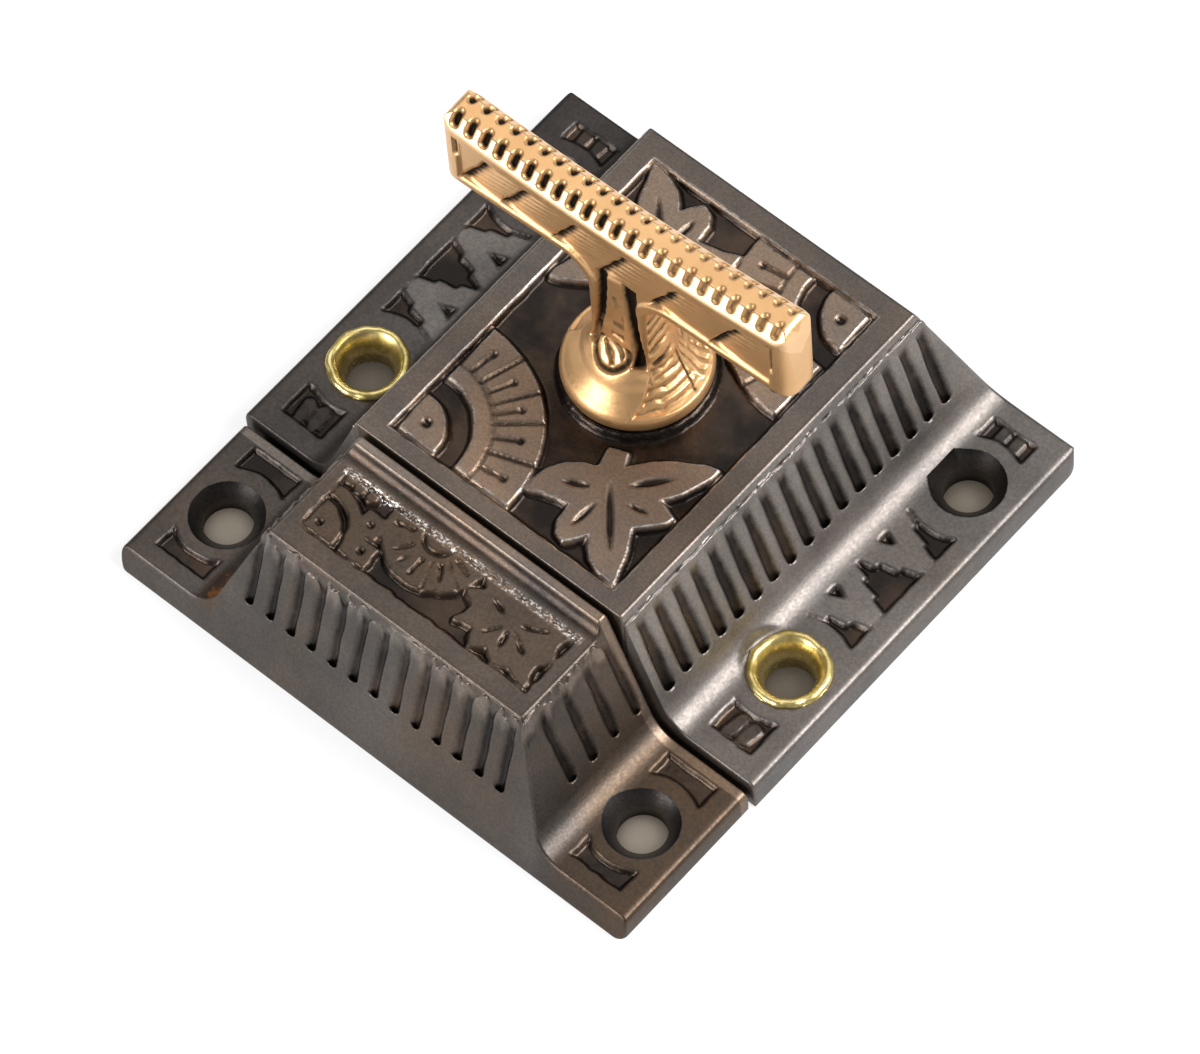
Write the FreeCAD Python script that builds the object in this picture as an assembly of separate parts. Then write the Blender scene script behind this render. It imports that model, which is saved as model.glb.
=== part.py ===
"""Cast cupboard catch: a case with a spring bolt worked by a T-handle, and the strike that keeps the bolt."""
import FreeCAD, Part
import math
import os

V = FreeCAD.Vector
UP = V(0, 0, 1)

# Overall sizes, in millimetres and degrees
overall_width = 54.0
strike_length = 15.4
split_gap = 0.5
case_length = 40.9
end_angle = 71.6
side_angle = 70.0
reach = 60.0

# Case casting
case_height = 15.5
case_crest_width = 27.8
case_flange = 3.2
cove_radius = 3.0
crest_round = 0.4
far_corner = 2.2
wall = 2.0
rim_near = 1.5
rim_side = 2.1
rim_far = 2.0
panel_depth = 0.6
crest_groove_drop = 1.15
crest_groove_width = 0.8
crest_groove_depth = 0.4

# Strike casting
strike_inset = 0.3
strike_height = 14.2
strike_crest_width = 26.6
strike_flange = 2.5
strike_wall = 1.8
strike_corner = 0.8
strike_rim_front = 1.9
strike_rim_side = 1.3
lip_thickness = 0.8
lip_cove = 1.5
keeper_bar = 1.7

# Flutes on the sloping faces
flute_width = 1.15
flute_depth = 0.4
flute_foot_taper = 0.35
flute_pitch = 2.12
front_flute_pitch = 2.2
front_flute_shift = -0.55
strike_flute_pitch = 2.6
flute_foot = 6.3
flute_head = 1.7
side_flute_start = 1.5
side_flute_count = 17
front_flute_count = 13
front_flute_foot = 6.0
strike_flute_count = 4
strike_flute_start = 1.1

# Screw holes
hole_edge = 4.7
hole_radius = 2.1
sink_radius = 3.15
sink_depth = 1.1
eyelet_from_split = 9.75
far_hole_from_end = 9.0
strike_hole_from_front = 8.1

# Eyelets through the flange and the back plate
eyelet_wall = 0.6
eyelet_fit = 0.03
eyelet_rim_radius = 3.55
eyelet_rim_height = 0.55
eyelet_edge = 0.2
eyelet_crown_radius = 2.95
eyelet_throat = 0.5
eyelet_seat_gap = 0.1

# Back plate
plate_thickness = 1.2
plate_width = 37.2
plate_clearance = 0.2
plate_near = 0.8
plate_far = 1.2
ear_radius = 4.0

# Spindle and T-handle
spindle_from_split = 18.1
spindle_radius = 2.6
spindle_fit = 0.05
square_side = 3.6
square_fit = 0.05
boss_radius = 5.0
seat_radius = 6.2
seat_gap = 0.1
base_radius = 6.25
base_thickness = 1.8
flare_height = 9.5
neck_radius = 1.6
flare_waist = 3.6
flare_waist_share = 0.5
base_edge = 0.4
handle_top = 39.0
bar_length = 35.0
bar_thickness = 4.0
bar_end_depth = 8.8
bar_mid_depth = 8.7
bar_dip = 1.0
bar_dish_reach = 16.2
bar_end_lean = 0.5
bar_edge = 0.7
bracket_radius = 1.5
stem_width = 5.8
bar_turn = 1.9
bar_panel_border = 1.0
bar_panel_depth = 0.4
bar_panel_start = 4.8
bar_panel_rail = 2.0
bead_pitch = 1.44
bead_count = 23
back_bead_count = 11
bead_cut = 0.75
stem_slot_width = 0.8
stem_slot_depth = 0.5
stem_slot_offset = 1.45

# Dog, washer and riveted end under the case
dog_reach = 9.5
dog_half = 1.5
dog_thickness = 3.5
dog_hub_radius = 3.3
dog_drop = 0.3
washer_thickness = 0.6
washer_radius = 3.6
rivet_radius = 3.1
rivet_height = 0.8

# Bolt
bolt_width = 12.0
bolt_height = 7.0
bolt_lift = 0.3
bolt_throw = 5.5
bolt_tip = 2.5
bolt_top_clearance = 0.5
slide_clearance = 0.2
yoke_width = 24.4
yoke_web = 2.4
yoke_rail = 1.8
yoke_tail = 4.0
yoke_rest = 0.3
dog_gap = 0.3
hub_clearance = 0.4

# Bow spring and its pad on the far wall
spring_thickness = 0.5
spring_height = 5.0
spring_span = 18.0
spring_gap = 0.1
pad_set = 2.6

# Relief of the case panel
fan_inset = 0.85
fan_eye_radius = 3.6
fan_band = (5.7, 7.0)
fan_blade = (7.3, 11.15)
fan_blade_count = 5
fan_blade_gap = 3.0
flange_relief = 0.5
flange_panel_width = 4.9
flange_panel_near = 4.3
flange_panel_ring = 5.1
flange_leaf_spacing = 6.2
flange_panel_shift = 0.3

# Recesses beside the screw holes: nearest and farthest reach from the hole, width, ring kept round the hole
eyelet_recess = (4.0, 7.75, 4.4, 4.95)
far_recess = (4.0, 6.1, 4.6, 5.0)
strike_front_recess = (3.6, 5.6, 4.6, 4.6)
strike_back_recess = (4.2, 6.1, 4.6, 5.0)

# Relief of the strike panel
strike_fan_inset = 0.7
strike_fan_eye = 2.4
strike_fan_band = (3.5, 4.4)
strike_square = 2.1
strike_square_ring = 5.7
strike_square_turns = (6.0, 34.0)
petal_band = (1.2, 4.4)
petal_sweep = 46.0
petal_starts = (187.0, 247.0, 307.0)
petal_x = -2.2
petal_lift = 0.3

# Leaf outlines: the case's as (along, aside, bulge) from its corner,
# the strike's as (distance from the side, edge it is measured from, step from that edge, bulge)
case_leaf = [(12.6, 1.2, 0), (12.6, -0.1, 0), (11.0, -0.3, 0.12), (9.9, -5.85, 0.14), (8.2, -2.9, 0.22),
             (4.7, -3.7, 0), (5.1, -1.35, 0.12), (0.8, 0.3, 0.12), (5.3, 2.0, 0), (5.6, 5.2, 0.2),
             (7.5, 4.5, 0.12), (9.9, 9.3, 0.12), (11.0, 1.6, 0)]
strike_leaf = [(0.2, "near", 0.3, -0.2), (0.5, "far", -0.2, -0.12), (6.6, "far", -0.6, -0.1),
               (5.6, "near", 1.9, 0.1), (4.6, "near", 0.4, 0.12), (2.6, "near", 1.2, 0.1)]

# Places worked out from the sizes above
overall_length = strike_length + split_gap + case_length
strike_width = overall_width - 2 * strike_inset
hole_spacing = overall_width - 2 * hole_edge
strike_hole_spacing = strike_width - 2 * hole_edge
front_y = -overall_length / 2
split_y = front_y + strike_length
case_y = split_y + split_gap
far_y = overall_length / 2
end_run = 1 / math.tan(math.radians(end_angle))
side_run = 1 / math.tan(math.radians(side_angle))
end_wall = wall / math.sin(math.radians(end_angle))
side_wall = wall / math.sin(math.radians(side_angle))
spindle_y = case_y + spindle_from_split
eyelet_y = case_y + eyelet_from_split
far_hole_y = far_y - far_hole_from_end
strike_hole_y = front_y + strike_hole_from_front
panel_half = case_crest_width / 2 - rim_side
panel_near_y = case_y + rim_near
panel_far_y = far_y - case_height * end_run - rim_far
panel_mid_y = (panel_near_y + panel_far_y) / 2
cavity_top = case_height - panel_depth - wall
bolt_low = plate_thickness + bolt_lift
bolt_high = bolt_low + bolt_height
boss_low = bolt_high + bolt_top_clearance
dog_high = boss_low - dog_drop
dog_low = dog_high - dog_thickness
rivet_high = dog_low - washer_thickness
base_low = case_height + seat_gap
eyelet_bore = hole_radius + eyelet_wall + eyelet_fit
yoke_front_y = case_y + wall + yoke_rest
yoke_cross_y = spindle_y + dog_half + dog_gap
yoke_back_y = yoke_cross_y + yoke_tail
pad_y = far_y - bolt_high * end_run - end_wall - pad_set
bar_run = bar_length / 2 - bar_end_lean
bar_vee = bar_dip / (1 - bar_dish_reach / (2 * bar_run))
bar_dish_radius = bar_dish_reach * bar_run / bar_vee


def outline(corners):
    """Closed wire in the XY plane through (a, b, radius) corners; a radius above zero rounds its corner."""
    spans = []
    for k, (a, b, radius) in enumerate(corners):
        corner = V(a, b, 0)
        before = V(corners[k - 1][0], corners[k - 1][1], 0) - corner
        after_corner = corners[(k + 1) % len(corners)]
        after = V(after_corner[0], after_corner[1], 0) - corner
        if radius <= 0:
            spans.append((corner, None, corner))
            continue
        half = before.getAngle(after) / 2
        before.normalize()
        after.normalize()
        setback = radius / math.tan(half)
        inward = (before + after).normalize()
        middle = corner + inward * (radius / math.sin(half) - radius)
        spans.append((corner + before * setback, middle, corner + after * setback))
    edges = []
    for k, (start, middle, end) in enumerate(spans):
        if middle is not None:
            edges.append(Part.Arc(start, middle, end).toShape())
        following = spans[(k + 1) % len(spans)][0]
        if end.distanceToPoint(following) > 1e-6:
            edges.append(Part.makeLine(end, following))
    return Part.Wire(edges)


def along_x(corners, x0, x1):
    """Prism along X whose section is given as (y, z, radius) corners."""
    wire = outline(corners)
    wire.rotate(V(0, 0, 0), V(1, 1, 1), 120)
    wire.translate(V(x0, 0, 0))
    return Part.Face(wire).extrude(V(x1 - x0, 0, 0))


def along_y(corners, y0, y1):
    """Prism along Y whose section is given as (x, z, radius) corners."""
    wire = outline(corners)
    wire.rotate(V(0, 0, 0), V(1, 0, 0), 90)
    wire.translate(V(0, y0, 0))
    return Part.Face(wire).extrude(V(0, y1 - y0, 0))


def along_z(corners, z0, z1):
    """Upright prism whose plan is given as (x, y, radius) corners."""
    wire = outline(corners)
    wire.translate(V(0, 0, z0))
    return Part.Face(wire).extrude(V(0, 0, z1 - z0))


def block(x0, x1, y0, y1, z0, z1):
    """Box between two corners."""
    return Part.makeBox(x1 - x0, y1 - y0, z1 - z0, V(x0, y0, z0))


def disc(radius, x, y, z0, z1):
    """Upright cylinder between two heights."""
    return Part.makeCylinder(radius, z1 - z0, V(x, y, z0))


def across(shape):
    """Copy of a shape on the other side of the middle plane."""
    return shape.mirror(V(0, 0, 0), V(1, 0, 0))


def both_sides(shapes):
    """The shapes and their mirrored copies."""
    return shapes + [across(shape) for shape in shapes]


def half_turn(shape):
    """Copy of a shape turned half round about the middle of the case panel."""
    turned = shape.copy()
    turned.rotate(V(0, panel_mid_y, 0), UP, 180)
    return turned


def sector(x, y, inner, outer, start, sweep, z0, z1):
    """Slice of a ring about an upright axis; an inner radius of zero gives a pie slice."""
    slice_solid = Part.makeCylinder(outer, z1 - z0, V(x, y, z0), UP, sweep)
    if inner > 0:
        slice_solid = slice_solid.cut(disc(inner, x, y, z0, z1))
    slice_solid.rotate(V(x, y, z0), UP, start)
    return slice_solid


def bulged_prism(points, z0, z1):
    """Upright prism through (x, y, bulge) points; the bulge bends the edge to the next point outwards."""
    edges = []
    for k, (x, y, bulge) in enumerate(points):
        x_next, y_next = points[(k + 1) % len(points)][:2]
        start = V(x, y, z0)
        end = V(x_next, y_next, z0)
        if bulge == 0:
            edges.append(Part.makeLine(start, end))
            continue
        chord = end - start
        middle = start + chord * 0.5 + V(chord.y, -chord.x, 0) * bulge
        edges.append(Part.Arc(start, middle, end).toShape())
    return Part.Face(Part.Wire(edges)).extrude(V(0, 0, z1 - z0))


def flute(length):
    """Groove cutter with a drawn-in foot, lying on the plane z = 0 with its length up along Y."""
    half = flute_width / 2
    foot = half - flute_foot_taper
    plan = [(-foot, 0, 0), (foot, 0, 0), (half, flute_foot_taper, 0), (half, length, 0),
            (-half, length, 0), (-half, flute_foot_taper, 0)]
    return along_z(plan, -flute_depth, flute_depth)


def flute_on(shape, foot, sideways, uphill, outward):
    """A flute cutter set on a sloping face with its foot at the given point."""
    placed = shape.copy()
    turn = FreeCAD.Rotation(sideways, uphill, outward, "ZXY")
    placed.Placement = FreeCAD.Placement(foot, turn)
    return placed


def side_flutes(crest_half, height, first_y, count, pitch):
    """Row of flutes down a right-hand side slope."""
    lean = math.radians(side_angle)
    outward = V(math.sin(lean), 0, math.cos(lean))
    uphill = V(-math.cos(lean), 0, math.sin(lean))
    cutter = flute((height - flute_head - flute_foot) / math.sin(lean))
    foot_x = crest_half + (height - flute_foot) * side_run
    row = []
    for k in range(count):
        foot = V(foot_x, first_y + k * pitch, flute_foot)
        row.append(flute_on(cutter, foot, V(0, 1, 0), uphill, outward))
    return row


def front_flutes():
    """Row of flutes down the front of the strike."""
    lean = math.radians(end_angle)
    outward = V(0, -math.sin(lean), math.cos(lean))
    uphill = V(0, math.cos(lean), math.sin(lean))
    cutter = flute((strike_height - flute_head - front_flute_foot) / math.sin(lean))
    foot_y = front_y + front_flute_foot * end_run
    row = []
    for k in range(front_flute_count):
        x = front_flute_shift + (k - (front_flute_count - 1) / 2) * front_flute_pitch
        row.append(flute_on(cutter, V(x, foot_y, front_flute_foot), V(1, 0, 0), uphill, outward))
    return row


def raised_section(width, flange, height, crest_width):
    """Corners of the flanged cross-section shared by both castings."""
    edge = width / 2
    crest = crest_width / 2
    foot = crest + (height - flange) * side_run
    right = [(crest, height, crest_round), (foot, flange, cove_radius), (edge, flange, 0), (edge, 0, 0)]
    left = [(-x, z, radius) for x, z, radius in reversed(right)]
    return left + right


def hollow_section(crest_width, height, skin, top):
    """Corners of the hollow under a raised section, open at the mounting plane."""
    low = crest_width / 2 + height * side_run - skin
    high = low - top * side_run
    return [(-low, 0, 0), (-high, top, 0), (high, top, 0), (low, 0, 0)]


def beyond_far(inset):
    """Everything past a plane parallel to the far end, set in by the inset."""
    y = far_y - inset
    return along_x([(y + reach * end_run, -reach, 0), (y - reach * end_run, reach, 0),
                    (y + 2 * reach, reach, 0), (y + 2 * reach, -reach, 0)], -reach, reach)


def before_front(inset):
    """Everything in front of a plane parallel to the strike's front, set in by the inset."""
    y = front_y + inset
    return along_x([(y - reach * end_run, -reach, 0), (y + reach * end_run, reach, 0),
                    (y - 2 * reach, reach, 0), (y - 2 * reach, -reach, 0)], -reach, reach)


def screw_hole(x, y, top):
    """Countersunk screw hole cutter."""
    shank = disc(hole_radius, x, y, -1, top + 1)
    sink = Part.makeCone(hole_radius, sink_radius, sink_depth, V(x, y, top - sink_depth))
    return shank.fuse(sink)


def ring_recess(x, hole_y, toward, top, sizes):
    """Shallow recess beside a screw hole, its near side hollowed round the hole."""
    near, far, width, ring = sizes
    y0, y1 = sorted((hole_y + toward * near, hole_y + toward * far))
    recess = block(x - width / 2, x + width / 2, y0, y1, top - flange_relief, top + 1)
    return recess.cut(disc(ring, x, hole_y, top - 1, top + 2))


def flange_leaf(root_x, y):
    """Small notched leaf that points out across the flange, as a cutter-height prism."""
    half = [(0, -3.0), (1.25, -2.4), (1.4, -1.9), (2.9, -1.6), (3.1, -1.2), (4.6, -0.3)]
    points = half + [(u, -v) for u, v in reversed(half)]
    return along_z([(root_x + u, y + v, 0) for u, v in points], 0, case_height)


def flange_panel():
    """Recess with two leaves between the two screw holes of the right-hand flange."""
    x = hole_spacing / 2 + flange_panel_shift
    y0 = eyelet_y + flange_panel_near
    y1 = far_hole_y - flange_panel_near
    left = x - flange_panel_width / 2
    ground = block(left, x + flange_panel_width / 2, y0, y1, case_flange - flange_relief, case_flange + 1)
    keep = [disc(flange_panel_ring, hole_spacing / 2, y, 0, case_height) for y in (eyelet_y, far_hole_y)]
    middle = (y0 + y1) / 2
    for side in (-1, 1):
        keep.append(flange_leaf(left, middle + side * flange_leaf_spacing / 2))
    return ground.cut(keep)


def panel_fan(z0, z1):
    """Corner fan of the case panel: an eye, a band and a ring of blades, in the near left corner."""
    x = -panel_half + fan_inset
    y = panel_near_y + fan_inset
    pieces = [sector(x, y, 0, fan_eye_radius, 0, 90, z0, z1)]
    pieces.append(sector(x, y, fan_band[0], fan_band[1], 0, 90, z0, z1))
    blade = (90 - fan_blade_gap * (fan_blade_count - 1)) / fan_blade_count
    for k in range(fan_blade_count):
        start = k * (blade + fan_blade_gap)
        pieces.append(sector(x, y, fan_blade[0], fan_blade[1], start, blade, z0, z1))
    return pieces


def panel_leaf(z0, z1):
    """Five-lobed leaf in the near right corner, its tip in the corner and its stem towards the spindle."""
    points = []
    for along, aside, bulge in case_leaf:
        back = (along - aside) * math.sqrt(0.5)
        up = (along + aside) * math.sqrt(0.5)
        points.append((panel_half - back, panel_near_y + up, bulge))
    return bulged_prism(points, z0, z1)


def panel_ground():
    """Ground of the case panel, cut away round the fans, the leaves and the handle's seat."""
    low = case_height - panel_depth
    high = case_height + 1
    ground = block(-panel_half, panel_half, panel_near_y, panel_far_y, low, high)
    relief = panel_fan(low, high) + [panel_leaf(low, high)]
    relief += [half_turn(piece) for piece in relief]
    relief.append(disc(seat_radius, 0, spindle_y, low, high))
    return ground.cut(relief)


def crest_groove(crest_half, height, y0, y1):
    """Groove along the top of a right-hand side slope, below the crest."""
    z = height - crest_groove_drop
    x = crest_half + crest_groove_drop * side_run
    run = crest_groove_width / 2
    lean = math.radians(side_angle)
    downhill = (run * math.cos(lean), -run * math.sin(lean))
    inward = (-crest_groove_depth * math.sin(lean), -crest_groove_depth * math.cos(lean))
    outward = (math.sin(lean), math.cos(lean))
    low = (x + downhill[0], z + downhill[1])
    high = (x - downhill[0], z - downhill[1])
    section = [(x + inward[0], z + inward[1], 0), (low[0], low[1], 0),
               (low[0] + outward[0], low[1] + outward[1], 0), (high[0] + outward[0], high[1] + outward[1], 0),
               (high[0], high[1], 0)]
    return along_y(section, y0, y1)


def plate_shape(margin, low, high):
    """Plan of the back plate with its two ears, grown by a margin."""
    half = plate_width / 2 + margin
    near = case_y + plate_near - margin
    far = far_y - plate_far + margin
    ear = ear_radius + margin
    x = hole_spacing / 2
    body = block(-half, half, near, far, low, high)
    strap = block(-x, x, eyelet_y - ear, eyelet_y + ear, low, high)
    ends = [disc(ear, side * x, eyelet_y, low, high) for side in (-1, 1)]
    return body.fuse([strap] + ends).removeSplitter()


def latch_case():
    """The case casting: flanged shell with fluted sides, carved top, spindle boss and spring pad."""
    section = raised_section(overall_width, case_flange, case_height, case_crest_width)
    shell = along_y(section, case_y, far_y)
    half = overall_width / 2
    plan = [(-half, case_y, 0), (half, case_y, 0), (half, far_y, far_corner), (-half, far_y, far_corner)]
    shell = shell.common(along_z(plan, 0, case_height)).cut(beyond_far(0))
    inside = hollow_section(case_crest_width, case_height, side_wall, cavity_top)
    hollow = along_y(inside, case_y + wall, far_y).cut(beyond_far(end_wall))
    boss = disc(boss_radius, 0, spindle_y, boss_low, case_height)
    pad_half = spring_span / 2 + 2
    pad = block(-pad_half, pad_half, pad_y, far_y, plate_thickness + plate_clearance, bolt_high)
    hollow = hollow.cut([boss, pad])
    window_half = bolt_width / 2 + slide_clearance
    window = block(-window_half, window_half, case_y - 1, case_y + wall + 1, -1, bolt_high + slide_clearance)
    spindle_bore = disc(spindle_radius + spindle_fit, 0, spindle_y, 0, case_height + 1)
    recess = plate_shape(plate_clearance, -1, plate_thickness)
    x = hole_spacing / 2
    cuts = [hollow, window, spindle_bore, recess, panel_ground()]
    eyelet_seat = eyelet_rim_radius + eyelet_seat_gap
    side_cuts = [disc(eyelet_bore, x, eyelet_y, -1, case_height),
                 disc(eyelet_seat, x, eyelet_y, case_flange, case_flange + 2 * eyelet_rim_height),
                 screw_hole(x, far_hole_y, case_flange), flange_panel(),
                 ring_recess(x, eyelet_y, -1, case_flange, eyelet_recess),
                 ring_recess(x, far_hole_y, 1, case_flange, far_recess),
                 crest_groove(case_crest_width / 2, case_height, case_y - 1, far_y)]
    first_y = case_y + side_flute_start
    side_cuts += side_flutes(case_crest_width / 2, case_height, first_y, side_flute_count, flute_pitch)
    return shell.cut(cuts + both_sides(side_cuts)).removeSplitter()


def strike_ground():
    """Ground of the strike panel, cut away round its corner fan, squares, half flower and leaf."""
    low = strike_height - panel_depth
    high = strike_height + 1
    half = strike_crest_width / 2 - strike_rim_side
    near = front_y + strike_height * end_run + strike_rim_front
    far = split_y - lip_thickness - lip_cove
    ground = block(-half, half, near, far, low, high)
    x = -half + strike_fan_inset
    y = near + strike_fan_inset
    relief = [sector(x, y, 0, strike_fan_eye, 0, 90, low, high)]
    relief.append(sector(x, y, strike_fan_band[0], strike_fan_band[1], 0, 90, low, high))
    side = strike_square / 2
    for turn in strike_square_turns:
        square = block(strike_square_ring - side, strike_square_ring + side, -side, side, low, high)
        square.rotate(V(0, 0, 0), UP, turn)
        square.translate(V(x, y, 0))
        relief.append(square)
    for start in petal_starts:
        petal = sector(petal_x, far + petal_lift, petal_band[0], petal_band[1], start, petal_sweep, low, high)
        relief.append(petal)
    edge_y = {"near": near, "far": far}
    leaf = [(half - inward, edge_y[edge] + step, bulge) for inward, edge, step, bulge in strike_leaf]
    relief.append(bulged_prism(leaf, low, high))
    return ground.cut(relief)


def strike():
    """The strike casting: a hollow keeper with a fluted front, a carved panel and a lip at the split."""
    lip_crest = strike_crest_width - 2 * (case_height - strike_height) * side_run
    section = raised_section(strike_width, strike_flange, case_height, lip_crest)
    shell = along_y(section, front_y, split_y)
    half = strike_width / 2
    plan = [(-half, front_y, strike_corner), (half, front_y, strike_corner),
            (half, split_y, 0), (-half, split_y, 0)]
    shell = shell.common(along_z(plan, 0, case_height)).cut(before_front(0))
    lip_y = split_y - lip_thickness
    above = [(front_y - 1, strike_height, 0), (lip_y, strike_height, lip_cove),
             (lip_y, case_height + 1, 0), (front_y - 1, case_height + 1, 0)]
    top = strike_height - panel_depth - strike_wall
    skin = strike_wall / math.sin(math.radians(side_angle))
    inside = hollow_section(strike_crest_width, strike_height, skin, top)
    hollow = along_y(inside, front_y, split_y - keeper_bar)
    hollow = hollow.cut(before_front(strike_wall / math.sin(math.radians(end_angle))))
    mouth_half = bolt_width / 2 + 2 * slide_clearance
    mouth_top = bolt_high + bolt_top_clearance
    mouth = block(-mouth_half, mouth_half, split_y - keeper_bar - 1, split_y + 1, -1, mouth_top)
    x = strike_hole_spacing / 2
    side_cuts = [screw_hole(x, strike_hole_y, strike_flange),
                 ring_recess(x, strike_hole_y, -1, strike_flange, strike_front_recess),
                 ring_recess(x, strike_hole_y, 1, strike_flange, strike_back_recess)]
    first_y = split_y - strike_flute_start - (strike_flute_count - 1) * strike_flute_pitch
    side_cuts += side_flutes(strike_crest_width / 2, strike_height, first_y, strike_flute_count,
                             strike_flute_pitch)
    cuts = [along_x(above, -half, half), hollow, mouth, strike_ground()]
    return shell.cut(cuts + both_sides(side_cuts) + front_flutes()).removeSplitter()


def grip():
    """The T-shaped grip above the base disc, about the spindle axis at the origin."""
    half = bar_length / 2
    stem = stem_width / 2
    top = handle_top
    end_low = top - bar_end_depth
    mid_low = top - bar_mid_depth
    foot = base_low + base_thickness
    right = [(half - bar_end_lean, top, bar_edge), (half, end_low, bar_edge),
             (stem, mid_low, bracket_radius), (stem, foot, 0)]
    left = [(-x, z, radius) for x, z, radius in reversed(right)]
    dish = [(0, top - bar_vee, bar_dish_radius)]
    body = along_y(right + left + dish, -bar_thickness / 2, bar_thickness / 2)
    inner = base_radius - base_edge
    flare = [V(0, 0, base_low), V(inner, 0, base_low),
             V(base_radius, 0, base_low + base_edge), V(inner, 0, foot)]
    high = base_low + flare_height
    waist = base_low + flare_height * flare_waist_share
    flare += [V(flare_waist, 0, waist), V(neck_radius, 0, high), V(0, 0, high)]
    base = Part.Face(Part.makePolygon(flare + flare[:1])).revolve(V(0, 0, 0), UP, 360)
    cuts = grip_panels() + grip_beads() + stem_slots()
    return body.fuse(base).removeSplitter().cut(cuts)


def bar_top(x):
    """Height of the dished top of the bar."""
    return handle_top - bar_dip + bar_dish_radius - math.sqrt(bar_dish_radius ** 2 - x ** 2)


def grip_panels():
    """Sunk panels on both faces of both arms."""
    low = handle_top - bar_mid_depth + bar_panel_border
    end = bar_length / 2 - bar_end_lean - bar_panel_border
    face = bar_thickness / 2
    section = [(bar_panel_start, low, 0), (end, low, 0), (end, bar_top(end) - bar_panel_rail, 0),
               (bar_panel_start, bar_top(bar_panel_start) - bar_panel_rail, 0)]
    panels = []
    for y0, y1 in ((-face - 1, bar_panel_depth - face), (face - bar_panel_depth, face + 1)):
        panels.append(along_y(section, y0, y1))
    return both_sides(panels)


def grip_beads():
    """Notches that leave a row of beads along the front top edge and half of the back one."""
    notches = []
    for edge, count in ((-bar_thickness / 2, bead_count), (bar_thickness / 2, back_bead_count)):
        for k in range(count):
            x = (k - (bead_count - 1) / 2) * bead_pitch
            notch = Part.makeBox(bead_cut, bead_cut, bead_cut, V(-bead_cut / 2, -bead_cut / 2, -bead_cut / 2))
            notch.rotate(V(0, 0, 0), V(1, 0, 0), 45)
            notch.translate(V(x, edge, bar_top(x)))
            notches.append(notch)
    return notches


def stem_slots():
    """Two upright slots on the front and the back of the stem."""
    low = base_low + flare_height + stem_slot_width / 2
    high = handle_top - bar_mid_depth - 1.5
    half = stem_slot_width / 2
    face = bar_thickness / 2
    slots = []
    for x in (-stem_slot_offset, stem_slot_offset):
        slots.append(block(x - half, x + half, -face - 1, stem_slot_depth - face, low, high))
        slots.append(block(x - half, x + half, face - stem_slot_depth, face + 1, low, high))
    return slots


def t_handle():
    """The handle casting: grip, base disc and spindle, its lower end riveted over the washer."""
    top = grip()
    top.rotate(V(0, 0, 0), UP, bar_turn)
    journal = disc(spindle_radius, 0, 0, dog_high, base_low + 1)
    square = block(-square_side / 2, square_side / 2, -square_side / 2, square_side / 2, rivet_high, dog_high)
    rivet = disc(rivet_radius, 0, 0, rivet_high - rivet_height, rivet_high)
    handle = top.fuse([journal, square, rivet]).removeSplitter()
    handle.translate(V(0, spindle_y, 0))
    return handle


def dog():
    """Two-armed dog on the spindle's square, which draws the bolt back when the handle turns."""
    arm = dog_reach - dog_half
    bar = block(-arm, arm, -dog_half, dog_half, dog_low, dog_high)
    ends = [disc(dog_half, side * arm, 0, dog_low, dog_high) for side in (-1, 1)]
    body = bar.fuse(ends + [disc(dog_hub_radius, 0, 0, dog_low, dog_high)]).removeSplitter()
    half = square_side / 2 + square_fit
    body = body.cut(block(-half, half, -half, half, dog_low - 1, dog_high + 1))
    body.translate(V(0, spindle_y, 0))
    return body


def spindle_washer():
    """Washer between the dog and the riveted end of the spindle."""
    opening = square_side * math.sqrt(0.5) + square_fit
    ring = disc(washer_radius, 0, spindle_y, rivet_high, dog_low)
    return ring.cut(disc(opening, 0, spindle_y, rivet_high - 1, dog_low + 1))


def latch_bolt():
    """Bolt with a bevelled nose and a yoke round the dog."""
    half = bolt_width / 2
    tip = case_y - bolt_throw
    bevel = bolt_height - bolt_tip
    nose = along_x([(tip, bolt_high, 0), (yoke_front_y, bolt_high, 0), (yoke_front_y, bolt_low, 0),
                    (tip + bevel, bolt_low, 0), (tip, bolt_high - bolt_tip, 0)], -half, half)
    outer = yoke_width / 2
    inner = outer - yoke_rail
    frame = block(-outer, outer, yoke_front_y, yoke_back_y, bolt_low, bolt_high)
    room = block(-inner, inner, yoke_front_y + yoke_web, yoke_cross_y, bolt_low - 1, bolt_high + 1)
    hub_room = disc(dog_hub_radius + hub_clearance, 0, spindle_y, bolt_low - 1, bolt_high + 1)
    frame = frame.cut([room, hub_room])
    return nose.fuse(frame).removeSplitter()


def bow_spring():
    """Flat spring bent to a bow between the bolt's tail and the pad on the far wall."""
    low = (bolt_low + bolt_high - spring_height) / 2
    half = spring_span / 2
    crown = yoke_back_y + spring_gap
    foot = pad_y - spring_gap
    inset = half - spring_thickness
    back = crown + spring_thickness
    outer = Part.Arc(V(-half, foot, low), V(0, crown, low), V(half, foot, low)).toShape()
    inner = Part.Arc(V(inset, foot, low), V(0, back, low), V(-inset, foot, low)).toShape()
    right = Part.makeLine(V(half, foot, low), V(inset, foot, low))
    left = Part.makeLine(V(-inset, foot, low), V(-half, foot, low))
    return Part.Face(Part.Wire([outer, right, inner, left])).extrude(V(0, 0, spring_height))


def back_plate():
    """Sheet plate let into the back of the case and held by the eyelets."""
    plate = plate_shape(0, 0, plate_thickness)
    x = hole_spacing / 2
    return plate.cut([disc(eyelet_bore, side * x, eyelet_y, -1, plate_thickness + 1) for side in (-1, 1)])


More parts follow.
